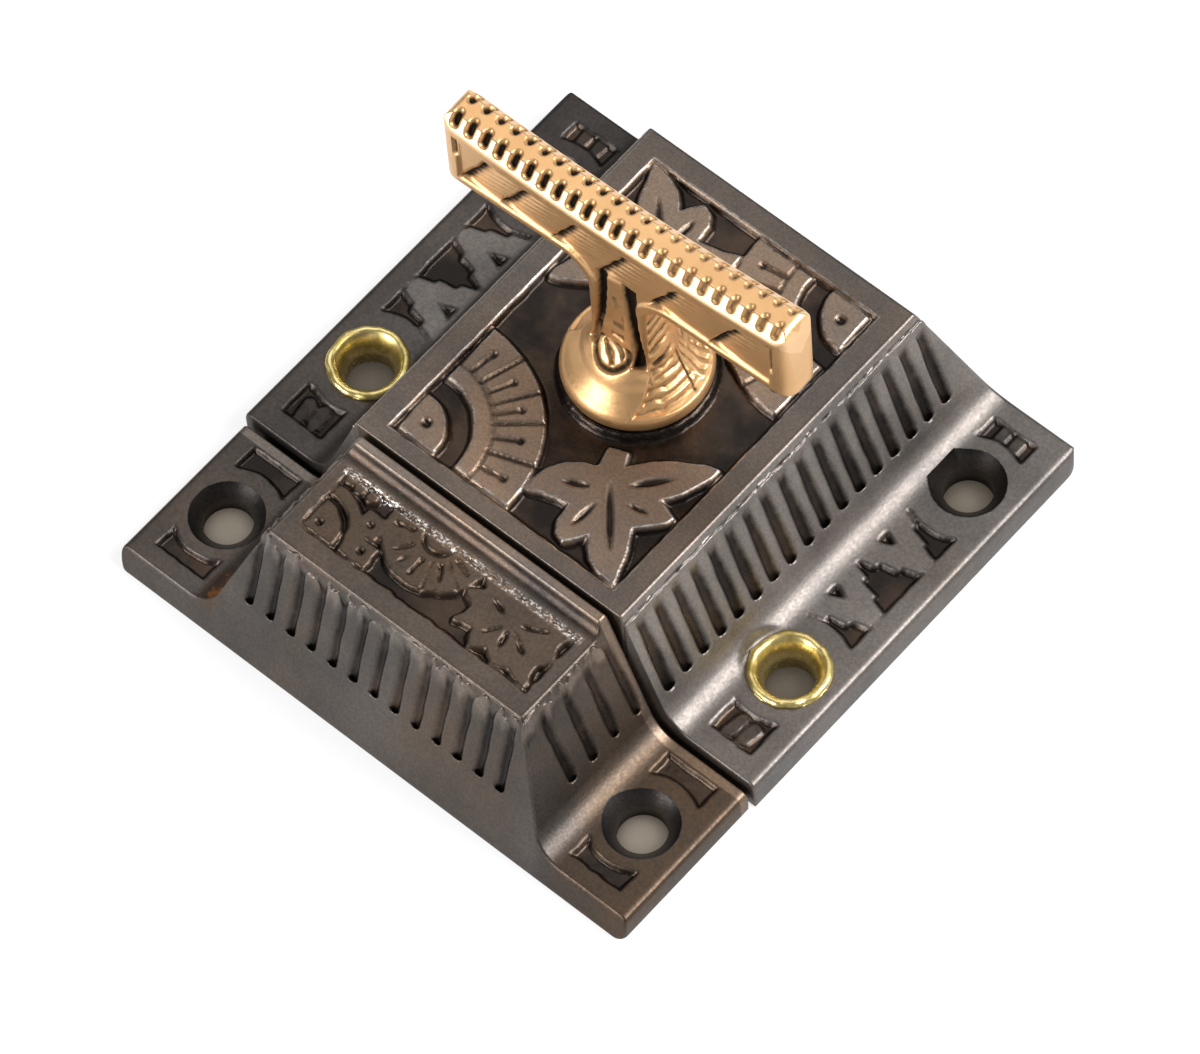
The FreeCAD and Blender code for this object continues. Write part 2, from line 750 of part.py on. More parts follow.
def eyelet(side):
    """Tubular brass eyelet: a flared rim over the flange and a barrel swelled tight in the back plate."""
    tube = hole_radius + eyelet_wall
    rim = eyelet_rim_radius
    crown = case_flange + eyelet_rim_height
    profile = [(hole_radius, 0), (tube, 0), (tube, case_flange), (rim, case_flange),
               (rim, case_flange + eyelet_edge), (eyelet_crown_radius, crown),
               (hole_radius, case_flange - eyelet_throat)]
    wire = Part.makePolygon([V(r, 0, z) for r, z in profile + profile[:1]])
    shape = Part.Face(wire).revolve(V(0, 0, 0), UP, 360)
    shape.translate(V(side * hole_spacing / 2, eyelet_y, 0))
    return shape


def main():
    """Builds every piece and writes it under its own name."""
    pieces = {
        "latch_case": latch_case(),
        "strike": strike(),
        "t_handle": t_handle(),
        "dog": dog(),
        "spindle_washer": spindle_washer(),
        "latch_bolt": latch_bolt(),
        "bow_spring": bow_spring(),
        "back_plate": back_plate(),
        "eyelet_left": eyelet(-1),
        "eyelet_right": eyelet(1),
    }
    os.makedirs("parts", exist_ok=True)
    for name, shape in pieces.items():
        solid = shape.Solids[0] if len(shape.Solids) == 1 else shape
        solid.exportStep("parts/" + name + ".step")
        print(name, len(shape.Solids), shape.isValid(), round(shape.Volume, 2))


main()
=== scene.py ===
"""Looks of a cast cupboard catch: carved case and strike, tee handle, eyelets and the works inside."""

import logging
import math
from dataclasses import dataclass
from enum import Enum
from typing import Callable, Iterable

import bmesh
import bpy
import numpy as np
from mathutils import Matrix, Vector


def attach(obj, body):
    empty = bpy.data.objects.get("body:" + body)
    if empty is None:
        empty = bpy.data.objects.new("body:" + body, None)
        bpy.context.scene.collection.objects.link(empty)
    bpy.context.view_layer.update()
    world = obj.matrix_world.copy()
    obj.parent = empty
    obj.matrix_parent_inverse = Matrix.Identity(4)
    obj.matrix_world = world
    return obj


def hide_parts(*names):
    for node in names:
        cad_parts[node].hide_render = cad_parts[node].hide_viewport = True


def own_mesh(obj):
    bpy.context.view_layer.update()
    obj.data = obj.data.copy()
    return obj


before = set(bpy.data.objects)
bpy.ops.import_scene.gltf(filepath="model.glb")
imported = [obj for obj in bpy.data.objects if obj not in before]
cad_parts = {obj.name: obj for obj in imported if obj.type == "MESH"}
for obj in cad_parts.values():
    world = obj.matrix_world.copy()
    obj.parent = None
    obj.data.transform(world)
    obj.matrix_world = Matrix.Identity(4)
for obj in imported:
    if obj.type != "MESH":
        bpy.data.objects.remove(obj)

MM = 0.001
WELD = 1e-6
log = logging.getLogger("cupboard_catch")

Array = np.ndarray
Point = tuple[float, float]
Colour = tuple[float, float, float, float]
Distance = Callable[[Array, Array], Array]
Socket = bpy.types.NodeSocket
Node = bpy.types.Node


class Body(Enum):
    """Bodies of the frame that the pieces ride on."""

    FRAME = "frame"
    HANDLE = "handle"


class Slot(Enum):
    """Material slots of the record, one for each finish of the made pieces."""

    IRON = "iron"
    BRONZE = "bronze"
    SPRING = "spring_steel"
    BRASS = "brass"


class Mark(Enum):
    """Vertex attributes that the carving leaves for the finishes and the sharp edges."""

    # hollow darkens recesses as grime, and also carries painted shade in the strike's cove and painted
    # shadow past the steps of the handle's panels
    HOLLOW = "hollow"
    RUB = "rub"
    # light sets how light the iron is: its own tone, plus painted light on the case's slopes and the
    # strike's band under the lip, and painted shade on the case's left flange
    LIGHT = "light"
    BROWN = "brown"
    CRUST = "crust"
    SKIN = "skin"


def ease(value: Array) -> Array:
    """Smooth step from 0 to 1 over the unit interval."""
    t = np.clip(value, 0.0, 1.0)
    return t * t * (3.0 - 2.0 * t)


class Ripple:
    """Seeded smooth noise over a plane."""

    def __init__(self, seed: int, cell: float) -> None:
        """Draws the lattice once.

        Args:
            seed: seed of the draw.
            cell: size of a lattice cell, in millimetres.
        """
        self.cell = cell
        self.values = np.random.default_rng(seed).uniform(-1.0, 1.0, (97, 89))

    def at(self, x: Array, y: Array) -> Array:
        """Noise from -1 to 1.

        Args:
            x: first coordinates.
            y: second coordinates.

        Returns:
            One value for each point.
        """
        u, v = x / self.cell + 40.3, y / self.cell + 31.7
        i, j = np.floor(u).astype(int), np.floor(v).astype(int)
        fu, fv = ease(u - i), ease(v - j)
        n, m = self.values.shape
        v00, v10 = self.values[i % n, j % m], self.values[(i + 1) % n, j % m]
        v01, v11 = self.values[i % n, (j + 1) % m], self.values[(i + 1) % n, (j + 1) % m]
        return (v00 * (1 - fu) + v10 * fu) * (1 - fv) + (v01 * (1 - fu) + v11 * fu) * fv


class Figure:
    """A flat figure known by its signed distance in millimetres, negative inside."""

    def __init__(self, distance: Distance) -> None:
        """Keeps the distance function."""
        self.distance = distance

    def __or__(self, other: "Figure") -> "Figure":
        """Both figures together."""
        return Figure(lambda x, y: np.minimum(self.distance(x, y), other.distance(x, y)))

    def __and__(self, other: "Figure") -> "Figure":
        """What the figures share."""
        return Figure(lambda x, y: np.maximum(self.distance(x, y), other.distance(x, y)))

    def __sub__(self, other: "Figure") -> "Figure":
        """This figure without the other."""
        return Figure(lambda x, y: np.maximum(self.distance(x, y), -other.distance(x, y)))

    def half_turned(self, middle: float) -> "Figure":
        """The figure turned by half a turn about (0, middle)."""
        return Figure(lambda x, y: self.distance(-x, 2 * middle - y))

    def both_sides(self) -> "Figure":
        """The right-hand figure and its mirror image."""
        return Figure(lambda x, y: self.distance(np.abs(x), y))

    def ragged(self, ripple: Ripple, amount: float) -> "Figure":
        """The figure with an uneven edge."""
        return Figure(lambda x, y: self.distance(x, y) + amount * ripple.at(x, y))

    @staticmethod
    def box(x0: float, x1: float, y0: float, y1: float) -> "Figure":
        """Upright rectangle between its sides."""
        cx, cy, hx, hy = (x0 + x1) / 2, (y0 + y1) / 2, (x1 - x0) / 2, (y1 - y0) / 2
        return Figure(lambda x, y: np.maximum(np.abs(x - cx) - hx, np.abs(y - cy) - hy))

    @staticmethod
    def disc(cx: float, cy: float, radius: float) -> "Figure":
        """Round disc."""
        return Figure(lambda x, y: np.hypot(x - cx, y - cy) - radius)

    @staticmethod
    def joined(parts: Iterable["Figure"]) -> "Figure":
        """Several figures as one."""
        whole, *others = parts
        for part in others:
            whole = whole | part
        return whole

    @staticmethod
    def bar(start: Point, end: Point, half: float, taper: float = 0.0) -> "Figure":
        """Round-ended bar, drawn in towards both ends by the taper.

        Args:
            start: middle of one round end.
            end: middle of the other.
            half: half its width.
            taper: how much narrower each end is than the middle, from 0 to 1.

        Returns:
            The bar.
        """
        ax, ay = start
        dx, dy = end[0] - ax, end[1] - ay
        length = dx * dx + dy * dy

        def distance(x: Array, y: Array) -> Array:
            """Distance to the bar's middle line, less its width there."""
            t = np.clip(((x - ax) * dx + (y - ay) * dy) / length, 0.0, 1.0)
            width = half * (1 - taper * (2 * t - 1) ** 2)
            return np.hypot(x - ax - t * dx, y - ay - t * dy) - width

        return Figure(distance)

    @staticmethod
    def spoke(centre: Point, angle: float, inner: float, outer: float, half: float,
              taper: float = 0.0) -> "Figure":
        """Bar along a ray from a centre.

        Args:
            centre: where the ray starts.
            angle: direction of the ray in degrees, from the x axis.
            inner: distance of the bar's near end.
            outer: distance of its far end.
            half: half its width.
            taper: how much narrower each end is than the middle, from 0 to 1.

        Returns:
            The bar.
        """
        u, v = math.cos(math.radians(angle)), math.sin(math.radians(angle))
        near = (centre[0] + inner * u, centre[1] + inner * v)
        far = (centre[0] + outer * u, centre[1] + outer * v)
        return Figure.bar(near, far, half, taper)

    @staticmethod
    def outline(points: list[Point]) -> "Figure":
        """Closed figure with straight sides.

        Args:
            points: its corners in order.

        Returns:
            The figure.
        """
        corners = np.array(points)
        follow = np.roll(corners, -1, axis=0)

        def distance(x: Array, y: Array) -> Array:
            """Distance to the nearest side, signed by how often a ray crosses the outline."""
            nearest = np.full(x.shape, 1e9)
            inside = np.zeros(x.shape, bool)
            for (ax, ay), (bx, by) in zip(corners, follow):
                ex, ey = bx - ax, by - ay
                t = np.clip(((x - ax) * ex + (y - ay) * ey) / (ex * ex + ey * ey), 0.0, 1.0)
                nearest = np.minimum(nearest, (x - ax - t * ex) ** 2 + (y - ay - t * ey) ** 2)
                if abs(ey) > 1e-9:
                    crosses = (ay > y) != (by > y)
                    inside ^= crosses & (x < ax + (y - ay) * ex / ey)
            return np.where(inside, -1.0, 1.0) * np.sqrt(nearest)

        return Figure(distance)

    @staticmethod
    def sector(cx: float, cy: float, inner: float, outer: float, start: float, end: float) -> "Figure":
        """Piece of a ring.

        Args:
            cx: centre across.
            cy: centre along.
            inner: inner radius.
            outer: outer radius.
            start: first angle in degrees, from the x axis.
            end: last angle in degrees, less than half a turn on.

        Returns:
            The figure.
        """
        a, b = math.radians(start), math.radians(end)

        def distance(x: Array, y: Array) -> Array:
            """Greatest of the distances to the arcs and to the two straight sides."""
            u, v = x - cx, y - cy
            r = np.hypot(u, v)
            sides = np.maximum(u * math.sin(a) - v * math.cos(a), v * math.cos(b) - u * math.sin(b))
            return np.maximum(np.maximum(r - outer, inner - r), sides)

        return Figure(distance)


@dataclass(frozen=True)
class Cut:
    """One carved figure: how deep it goes, how steep its wall is and how it is toned."""

    figure: Figure
    depth: float
    wall: float = 0.30
    dark: float = 1.0
    rub: float = 0.35
    crust: float = 0.3


@dataclass(frozen=True)
class Row:
    """Evenly spaced places along a line."""

    first: float
    pitch: float
    count: int

    def aside(self, place: Array) -> Array:
        """Distance of each point from the nearest place of the row."""
        nearest = np.clip(np.round((place - self.first) / self.pitch), 0, self.count - 1)
        return np.abs(place - self.first - self.pitch * nearest)


def runs(*spans: tuple[float, float, float]) -> Array:
    """Joins runs of evenly spaced stations.

    Args:
        spans: start, end and greatest spacing of each run, each run going on from the last.

    Returns:
        The stations in order.
    """
    parts = []
    for start, end, spacing in spans:
        count = max(1, math.ceil(abs(end - start) / spacing))
        parts.append(np.linspace(start, end, count + 1)[:-1])
    parts.append(np.array([spans[-1][1]]))
    return np.concatenate(parts)


class Graph:
    """Short words for building a node tree."""

    def __init__(self, tree: bpy.types.NodeTree) -> None:
        """Works on an empty tree."""
        self.tree = tree
        tree.nodes.clear()

    def node(self, kind: str, **settings: object) -> Node:
        """Adds a node and sets its properties."""
        made = self.tree.nodes.new(kind)
        for name, value in settings.items():
            setattr(made, name, value)
        return made

    def put(self, socket: Socket, value: object) -> None:
        """Links a socket to an output, or sets its value."""
        if isinstance(value, Socket):
            self.tree.links.new(value, socket)
        else:
            socket.default_value = value

    def math(self, operation: str, first: object, second: object = 0.0, clamp: bool = False) -> Socket:
        """One arithmetic step."""
        made = self.node("ShaderNodeMath", operation=operation, use_clamp=clamp)
        self.put(made.inputs[0], first)
        self.put(made.inputs[1], second)
        return made.outputs[0]

    def fit(self, value: object, low: float, high: float, to_low: float = 0.0,
            to_high: float = 1.0) -> Socket:
        """Maps a range smoothly onto another, held at its ends."""
        made = self.node("ShaderNodeMapRange", interpolation_type="SMOOTHSTEP", clamp=True)
        for name, number in (("From Min", low), ("From Max", high), ("To Min", to_low), ("To Max", to_high)):
            self.put(made.inputs[name], number)
        self.put(made.inputs["Value"], value)
        return made.outputs["Result"]

    def mix(self, share: object, first: object, second: object, blend: str = "MIX") -> Socket:
        """Mixes two colours by a share."""
        made = self.node("ShaderNodeMix", data_type="RGBA", blend_type=blend)
        self.put(made.inputs[0], share)
        self.put(made.inputs[6], first)
        self.put(made.inputs[7], second)
        return made.outputs[2]

    def grey(self, value: object) -> Socket:
        """Makes a grey colour of a value."""
        made = self.node("ShaderNodeCombineColor")
        for socket in made.inputs:
            self.put(socket, value)
        return made.outputs[0]

    def noise(self, place: object, scale: object, detail: float = 3.0, rough: float = 0.55) -> Socket:
        """Fractal noise from 0 to 1 at Object coordinates."""
        made = self.node("ShaderNodeTexNoise")
        self.put(made.inputs["Vector"], place)
        self.put(made.inputs["Scale"], scale)
        made.inputs["Detail"].default_value = detail
        made.inputs["Roughness"].default_value = rough
        return made.outputs["Fac"]

    def place(self) -> Socket:
        """Object coordinates."""
        return self.node("ShaderNodeTexCoord").outputs["Object"]

    def mark(self, mark: Mark) -> Socket:
        """Value that the carving left on the mesh."""
        return self.node("ShaderNodeAttribute", attribute_name=mark.value).outputs["Fac"]

    def use(self, group: bpy.types.NodeTree, **values: object) -> Node:
        """Places a node group, with its inputs named in lower case."""
        made = self.node("ShaderNodeGroup")
        made.node_tree = group
        for name, value in values.items():
            self.put(made.inputs[name.replace("_", " ").capitalize()], value)
        return made


class SharedEffects:
    """Node groups that more than one finish uses, each built once."""

    def __init__(self) -> None:
        """Builds the groups."""
        self.grain = self.make_grain()
        self.wear = self.make_mask("edge_wear", "Rub", 0.65, 0.9, (0.45, 0.95))
        # The hollow mask darkens grime and also the painted shade and shadow that the hollow mark carries.
        self.grime_and_shade = self.make_mask("hollow_grime_and_shade", "Hollow", 0.6, 0.5, (0.12, 0.8))

    @staticmethod
    def start(name: str, inputs: list[str], outputs: list[str]) -> tuple[Graph, dict[str, Socket], Node]:
        """Opens a group.

        Args:
            name: name of the group.
            inputs: names of its number inputs.
            outputs: names of its number outputs.

        Returns:
            The graph, its input sockets by name and its output node.
        """
        tree = bpy.data.node_groups.new(name, "ShaderNodeTree")
        graph = Graph(tree)
        for label in inputs:
            tree.interface.new_socket(label, in_out="INPUT", socket_type="NodeSocketFloat")
        for label in outputs:
            tree.interface.new_socket(label, in_out="OUTPUT", socket_type="NodeSocketFloat")
        entry = graph.node("NodeGroupInput")
        return graph, {label: entry.outputs[label] for label in inputs}, graph.node("NodeGroupOutput")

    def make_grain(self) -> bpy.types.NodeTree:
        """Skin of a casting: a fine height and a slow mottle."""
        graph, given, result = self.start("cast_grain", ["Fine", "Slow"], ["Height", "Mottle"])
        place = graph.place()
        fine = graph.noise(place, given["Fine"], 4.0, 0.6)
        pits = graph.fit(graph.noise(place, graph.math("MULTIPLY", given["Fine"], 0.6), 3.0, 0.5), 0.3, 0.55)
        height = graph.math("ADD", graph.math("MULTIPLY", fine, 0.85), graph.math("MULTIPLY", pits, 0.15))
        graph.put(result.inputs["Height"], height)
        graph.put(result.inputs["Mottle"], graph.noise(place, given["Slow"], 5.0, 0.6))
        return graph.tree

    def make_mask(self, name: str, driver: str, rough: float, sway: float,
                  limits: Point) -> bpy.types.NodeTree:
        """Mask that a mark drives, its border broken by noise.

        Args:
            name: name of the group.
            driver: name of the input that takes the mark.
            rough: roughness of the noise.
            sway: how far the noise moves the border.
            limits: levels at which the mask starts and is full.

        Returns:
            The group.
        """
        graph, given, result = self.start(name, [driver, "Amount", "Scale"], ["Mask"])
        broken = graph.noise(graph.place(), given["Scale"], 4.0, rough)
        swayed = graph.math("MULTIPLY", graph.math("SUBTRACT", broken, 0.5), sway)
        mask = graph.fit(graph.math("ADD", given[driver], swayed), *limits)
        graph.put(result.inputs["Mask"], graph.math("MULTIPLY", mask, given["Amount"], clamp=True))
        return graph.tree


def open_material(name: str) -> tuple[bpy.types.Material, Graph, Node]:
    """Starts a material.

    Args:
        name: name of the material.

    Returns:
        The material, its graph and its Principled BSDF, already joined to the output.
    """
    material = bpy.data.materials.new(name)
    material.use_nodes = True
    graph = Graph(material.node_tree)
    shader = graph.node("ShaderNodeBsdfPrincipled")
    output = graph.node("ShaderNodeOutputMaterial")
    graph.put(output.inputs["Surface"], shader.outputs["BSDF"])
    return material, graph, shader


def bump(graph: Graph, shader: Node, height: object, strength: float, depth: float) -> None:
    """Feeds a height into the shader's normal.

    Args:
        graph: graph of the material.
        shader: its Principled BSDF.
        height: socket with the height from 0 to 1.
        strength: strength of the Bump node.
        depth: distance that a height of 1 stands for, in metres.
    """
    node = graph.node("ShaderNodeBump")
    node.inputs["Strength"].default_value = strength
    node.inputs["Distance"].default_value = depth
    graph.put(node.inputs["Height"], height)
    graph.put(shader.inputs["Normal"], node.outputs["Normal"])


@dataclass(frozen=True)
class CastIron:
    """Old handled iron: satin where rubbed, dark and glossy in its hollows, sparkling where it is coarse; it
    also carries painted light and shade from the light mark, painted shade from the hollow mark in places,
    and painted glints where it is coarse.
    """

    # rubbed and cool are the ends of the light mark's scale, which carries painted light and painted shade
    # besides the iron's tone.
    rubbed: Colour = (0.225, 0.206, 0.193, 1)
    cool: Colour = (0.032, 0.029, 0.028, 1)
    warm: Colour = (1.0, 0.75, 0.54, 1)
    ground: Colour = (0.018, 0.0145, 0.013, 1)
    ground_brown: Colour = (0.058, 0.040, 0.029, 1)
    # bright serves both the rubbed edges and the painted glints.
    bright: Colour = (0.62, 0.61, 0.60, 1)
    rust: Colour = (0.36, 0.135, 0.040, 1)
    metal: float = 0.92
    fine: float = 3600.0
    slow: float = 120.0
    sand_fine: float = 4200.0
    rust_fine: float = 620.0
    bump_depth: float = 0.00005

    def make(self, effects: SharedEffects) -> bpy.types.Material:
        """Builds the material.

        Args:
            effects: the shared node groups.

        Returns:
            The material.
        """
        material, graph, shader = open_material("old_cast_iron")
        grain = graph.use(effects.grain, fine=self.fine, slow=self.slow)
        hollow, rub, crust = graph.mark(Mark.HOLLOW), graph.mark(Mark.RUB), graph.mark(Mark.CRUST)
        light, brown = graph.mark(Mark.LIGHT), graph.mark(Mark.BROWN)
        mottle, height = grain.outputs["Mottle"], grain.outputs["Height"]
        # Grime in the hollows, and painted shade in the strike's cove, darken towards the ground colours.
        dirt_and_shade = graph.use(effects.grime_and_shade, hollow=hollow, amount=1.0, scale=900.0).outputs["Mask"]
        worn = graph.use(effects.wear, rub=rub, amount=0.6, scale=1500.0).outputs["Mask"]
        # Painted light and shade: the light mark lightens the case's slopes and the strike's lip-foot band
        # and darkens the case's left flange, besides the iron's own tone.
        base = graph.mix(light, self.cool, self.rubbed)
        tint = graph.math("MULTIPLY", brown, graph.fit(mottle, 0.3, 0.6, 0.55, 1.0))
        base = graph.mix(tint, base, self.warm, "MULTIPLY")
        sand = graph.noise(graph.place(), self.sand_fine, 2.0, 0.5)
        base = graph.mix(1.0, base, graph.grey(graph.fit(mottle, 0.3, 0.7, 0.78, 1.16)), "MULTIPLY")
        base = graph.mix(1.0, base, graph.grey(graph.fit(sand, 0.32, 0.68, 0.87, 1.11)), "MULTIPLY")
        deep = graph.mix(graph.fit(mottle, 0.40, 0.66), self.ground, self.ground_brown)
        base = graph.mix(dirt_and_shade, base, deep)
        base = graph.mix(worn, base, self.bright)
        # Painted glints: pale specks mixed into the colour where the iron is coarse.
        painted_glint = graph.math("MULTIPLY", graph.fit(sand, 0.50, 0.60), graph.fit(crust, 0.45, 0.95))
        base = graph.mix(graph.math("MULTIPLY", painted_glint, 0.85), base, self.bright)
        spots = graph.noise(graph.place(), self.rust_fine, 4.0, 0.7)
        rusted = graph.math("MULTIPLY", graph.fit(spots, 0.46, 0.60), graph.fit(brown, 1.02, 1.25))
        base = graph.mix(graph.math("MULTIPLY", rusted, 0.75), base, self.rust)
        graph.put(shader.inputs["Base Color"], base)
        rough = graph.fit(height, 0.25, 0.75, 0.36, 0.47)
        rough = graph.math("SUBTRACT", rough, graph.math("MULTIPLY", painted_glint, 0.08))
        rough = graph.math("SUBTRACT", rough, graph.math("MULTIPLY", dirt_and_shade, 0.12))
        rough = graph.math("ADD", rough, graph.math("MULTIPLY", rusted, 0.25))
        graph.put(shader.inputs["Roughness"], rough)
        shader.inputs["Metallic"].default_value = self.metal
        relief = graph.math("MULTIPLY", sand, graph.math("MULTIPLY", crust, 2.0))
        relief = graph.math("ADD", relief, graph.math("MULTIPLY", height, 0.6))
        bump(graph, shader, relief, 0.5, self.bump_depth)
        return material


@dataclass(frozen=True)
class HandledBronze:
    """Bronze kept bright by the hand, brown-black in its hollows, with painted shadow just past the steps in
    its panels.
    """

    face: Colour = (0.72, 0.43, 0.20, 1)
    deep: Colour = (0.016, 0.009, 0.004, 1)
    bright: Colour = (0.86, 0.57, 0.31, 1)
    stain: Colour = (0.62, 0.35, 0.15, 1)
    metal: float = 0.8
    fine: float = 3300.0
    slow: float = 160.0
    bump_depth: float = 0.00005

    def make(self, effects: SharedEffects) -> bpy.types.Material:
        """Builds the material.

        Args:
            effects: the shared node groups.

        Returns:
            The material.
        """
        material, graph, shader = open_material("handled_bronze")
        grain = graph.use(effects.grain, fine=self.fine, slow=self.slow)
        hollow, rub = graph.mark(Mark.HOLLOW), graph.mark(Mark.RUB)
        # Grime in the hollows, and painted shadow past the panels' steps, darken towards the deep colour.
        dirt_and_shade = graph.use(effects.grime_and_shade, hollow=hollow, amount=1.0, scale=1500.0).outputs["Mask"]
        worn = graph.use(effects.wear, rub=rub, amount=0.7, scale=900.0).outputs["Mask"]
        base = graph.mix(graph.fit(grain.outputs["Mottle"], 0.35, 0.75), self.face, self.stain)
        base = graph.mix(worn, base, self.bright)
        base = graph.mix(dirt_and_shade, base, self.deep)
        graph.put(shader.inputs["Base Color"], base)
        rough = graph.fit(grain.outputs["Height"], 0.2, 0.8, 0.30, 0.40)
        graph.put(shader.inputs["Roughness"], graph.math("ADD", rough, graph.math("MULTIPLY", dirt_and_shade, 0.35)))
        shader.inputs["Metallic"].default_value = self.metal
        bump(graph, shader, grain.outputs["Height"], 0.3, self.bump_depth)
        return material


@dataclass(frozen=True)
class EyeletBrass:
    """Rolled brass, bright where it is rubbed and olive where it has dulled."""

    face: Colour = (0.86, 0.70, 0.30, 1)
    dull: Colour = (0.44, 0.34, 0.10, 1)
    metal: float = 0.94
    fine: float = 2600.0
    slow: float = 700.0
    bump_depth: float = 0.00006

    def make(self, effects: SharedEffects) -> bpy.types.Material:
        """Builds the material.

        Args:
            effects: the shared node groups.

        Returns:
            The material.
        """
        material, graph, shader = open_material("eyelet_brass")
        grain = graph.use(effects.grain, fine=self.fine, slow=self.slow)
        base = graph.mix(graph.fit(grain.outputs["Mottle"], 0.4, 0.7), self.face, self.dull)
        graph.put(shader.inputs["Base Color"], base)
        graph.put(shader.inputs["Roughness"], graph.fit(grain.outputs["Mottle"], 0.3, 0.7, 0.24, 0.38))
        shader.inputs["Metallic"].default_value = self.metal
        bump(graph, shader, grain.outputs["Height"], 0.2, self.bump_depth)
        return material


@dataclass(frozen=True)
class ShopSteel:
    """Plain steel of the works inside, with its mill skin and a little brown."""

    name: str
    face: Colour
    brown: Colour
    rough: float
    fine: float = 4200.0
    slow: float = 330.0
    metal: float = 0.95
    bump_depth: float = 0.00006

    def make(self, effects: SharedEffects) -> bpy.types.Material:
        """Builds the material.

        Args:
            effects: the shared node groups.

        Returns:
            The material.
        """
        material, graph, shader = open_material(self.name)
        grain = graph.use(effects.grain, fine=self.fine, slow=self.slow)
        base = graph.mix(graph.fit(grain.outputs["Mottle"], 0.45, 0.75), self.face, self.brown)
        graph.put(shader.inputs["Base Color"], base)
        rough = graph.fit(grain.outputs["Height"], 0.2, 0.8, self.rough - 0.07, self.rough + 0.1)
        graph.put(shader.inputs["Roughness"], rough)
        shader.inputs["Metallic"].default_value = self.metal
        bump(graph, shader, grain.outputs["Height"], 0.3, self.bump_depth)
        return material


def make_object(name: str, bm: bmesh.types.BMesh) -> bpy.types.Object:
    """Turns a bmesh into an object of the scene and frees it.

    Args:
        name: name of the object and its mesh.
        bm: the shape, in metres.

    Returns:
        The object.
    """
    mesh = bpy.data.meshes.new(name)
    bm.to_mesh(mesh)
    bm.free()
    made = bpy.data.objects.new(name, mesh)
    bpy.context.scene.collection.objects.link(made)
    return made


def settle_modifiers(made: bpy.types.Object) -> None:
    """Applies an object's modifiers to its mesh.

    Args:
        made: the object.
    """
    bpy.context.view_layer.update()
    graph = bpy.context.evaluated_depsgraph_get()
    mesh = bpy.data.meshes.new_from_object(made.evaluated_get(graph))
    mesh.name = made.name
    old = made.data
    made.modifiers.clear()
    made.data = mesh
    bpy.data.meshes.remove(old)


def read_points(made: bpy.types.Object) -> Array:
    """Places of an object's points, in millimetres."""
    flat = np.zeros(len(made.data.vertices) * 3)
    made.data.vertices.foreach_get("co", flat)
    return flat.reshape(-1, 3) / MM


def move_points(made: bpy.types.Object, points: Array) -> None:
    """Moves an object's points to places in millimetres."""
    made.data.vertices.foreach_set("co", (points * MM).ravel())
    made.data.update()


def add_smooth(made: bpy.types.Object, name: str, rounds: int) -> None:
    """Adds a modifier that evens a mesh out in a number of rounds."""
    step = made.modifiers.new(name, "SMOOTH")
    step.factor = 0.5
    step.iterations = rounds


def spin_round(bm: bmesh.types.BMesh, profile: list[Point], closed: bool) -> None:
    """Turns a profile about the upright axis.

    Args:
        bm: where it goes.
        profile: radius and height of each point, in millimetres.
        closed: whether its last point joins its first.
    """
    verts = [bm.verts.new(Vector((r, 0, z)) * MM) for r, z in profile]
    follow = verts[1:] + verts[:1] if closed else verts[1:]
    edges = [bm.edges.new(pair) for pair in zip(verts, follow)]
    bmesh.ops.spin(bm, geom=verts + edges, cent=(0, 0, 0), axis=(0, 0, 1), angle=math.tau, steps=96,
                   use_merge=True)
    bmesh.ops.remove_doubles(bm, verts=bm.verts, dist=WELD)
    bmesh.ops.recalc_face_normals(bm, faces=bm.faces)


def cut_away(made: bpy.types.Object, cutter: bpy.types.Object) -> None:
    """Cuts one object out of another and removes the cutter.

    Args:
        made: what is cut.
        cutter: what cuts it, which may be several closed shapes that overlap.
    """
    step = made.modifiers.new("cut", "BOOLEAN")
    step.operation = "DIFFERENCE"
    step.solver = "EXACT"
    step.use_self = True
    step.object = cutter
    settle_modifiers(made)
    mesh = cutter.data
    bpy.data.objects.remove(cutter)
    bpy.data.meshes.remove(mesh)


def add_block(bm: bmesh.types.BMesh, low: list[Point], high: list[Point], z0: float, z1: float) -> None:
    """Adds a six-sided block, square or drawn in, in metres from millimetres.

    Args:
        bm: where it goes.
        low: its four lower corners, in order round it.
        high: its four upper corners, in the same order.
        z0: height of the lower face.
        z1: height of the upper face.
    """
    made = bmesh.ops.create_circle(bm, cap_ends=True, radius=1.0, segments=4)["verts"]
    for vert, (x, y) in zip(made, low):
        vert.co = Vector((x, y, z0)) * MM
    face = made[0].link_faces[0]
    top = bmesh.ops.extrude_face_region(bm, geom=[face])["geom"]
    raised = [v for v in top if isinstance(v, bmesh.types.BMVert)]
    for vert in raised:
        k = min(range(4), key=lambda i: (vert.co - Vector((low[i][0], low[i][1], z0)) * MM).length)
        vert.co = Vector((high[k][0], high[k][1], z1)) * MM
    bmesh.ops.contextual_create(bm, geom=list(made))
    bmesh.ops.recalc_face_normals(bm, faces=bm.faces)


def add_box(bm: bmesh.types.BMesh, x0: float, x1: float, y0: float, y1: float, z0: float, z1: float) -> None:
    """Adds an upright box between its sides, in millimetres."""
    plan = [(x0, y0), (x1, y0), (x1, y1), (x0, y1)]
    add_block(bm, plan, plan, z0, z1)


def add_round(bm: bmesh.types.BMesh, x: float, y: float, z0: float, z1: float, r0: float, r1: float) -> None:
    """Adds an upright cylinder or cone, in millimetres.

    Args:
        bm: where it goes.
        x: its axis across.
        y: its axis along.
        z0: its lower end.
        z1: its upper end.
        r0: radius of the lower end.
        r1: radius of the upper end.
    """
    place = Matrix.Translation(Vector((x, y, (z0 + z1) / 2)) * MM)
    bmesh.ops.create_cone(bm, cap_ends=True, segments=64, radius1=r0 * MM, radius2=r1 * MM,
                          depth=(z1 - z0) * MM, matrix=place)


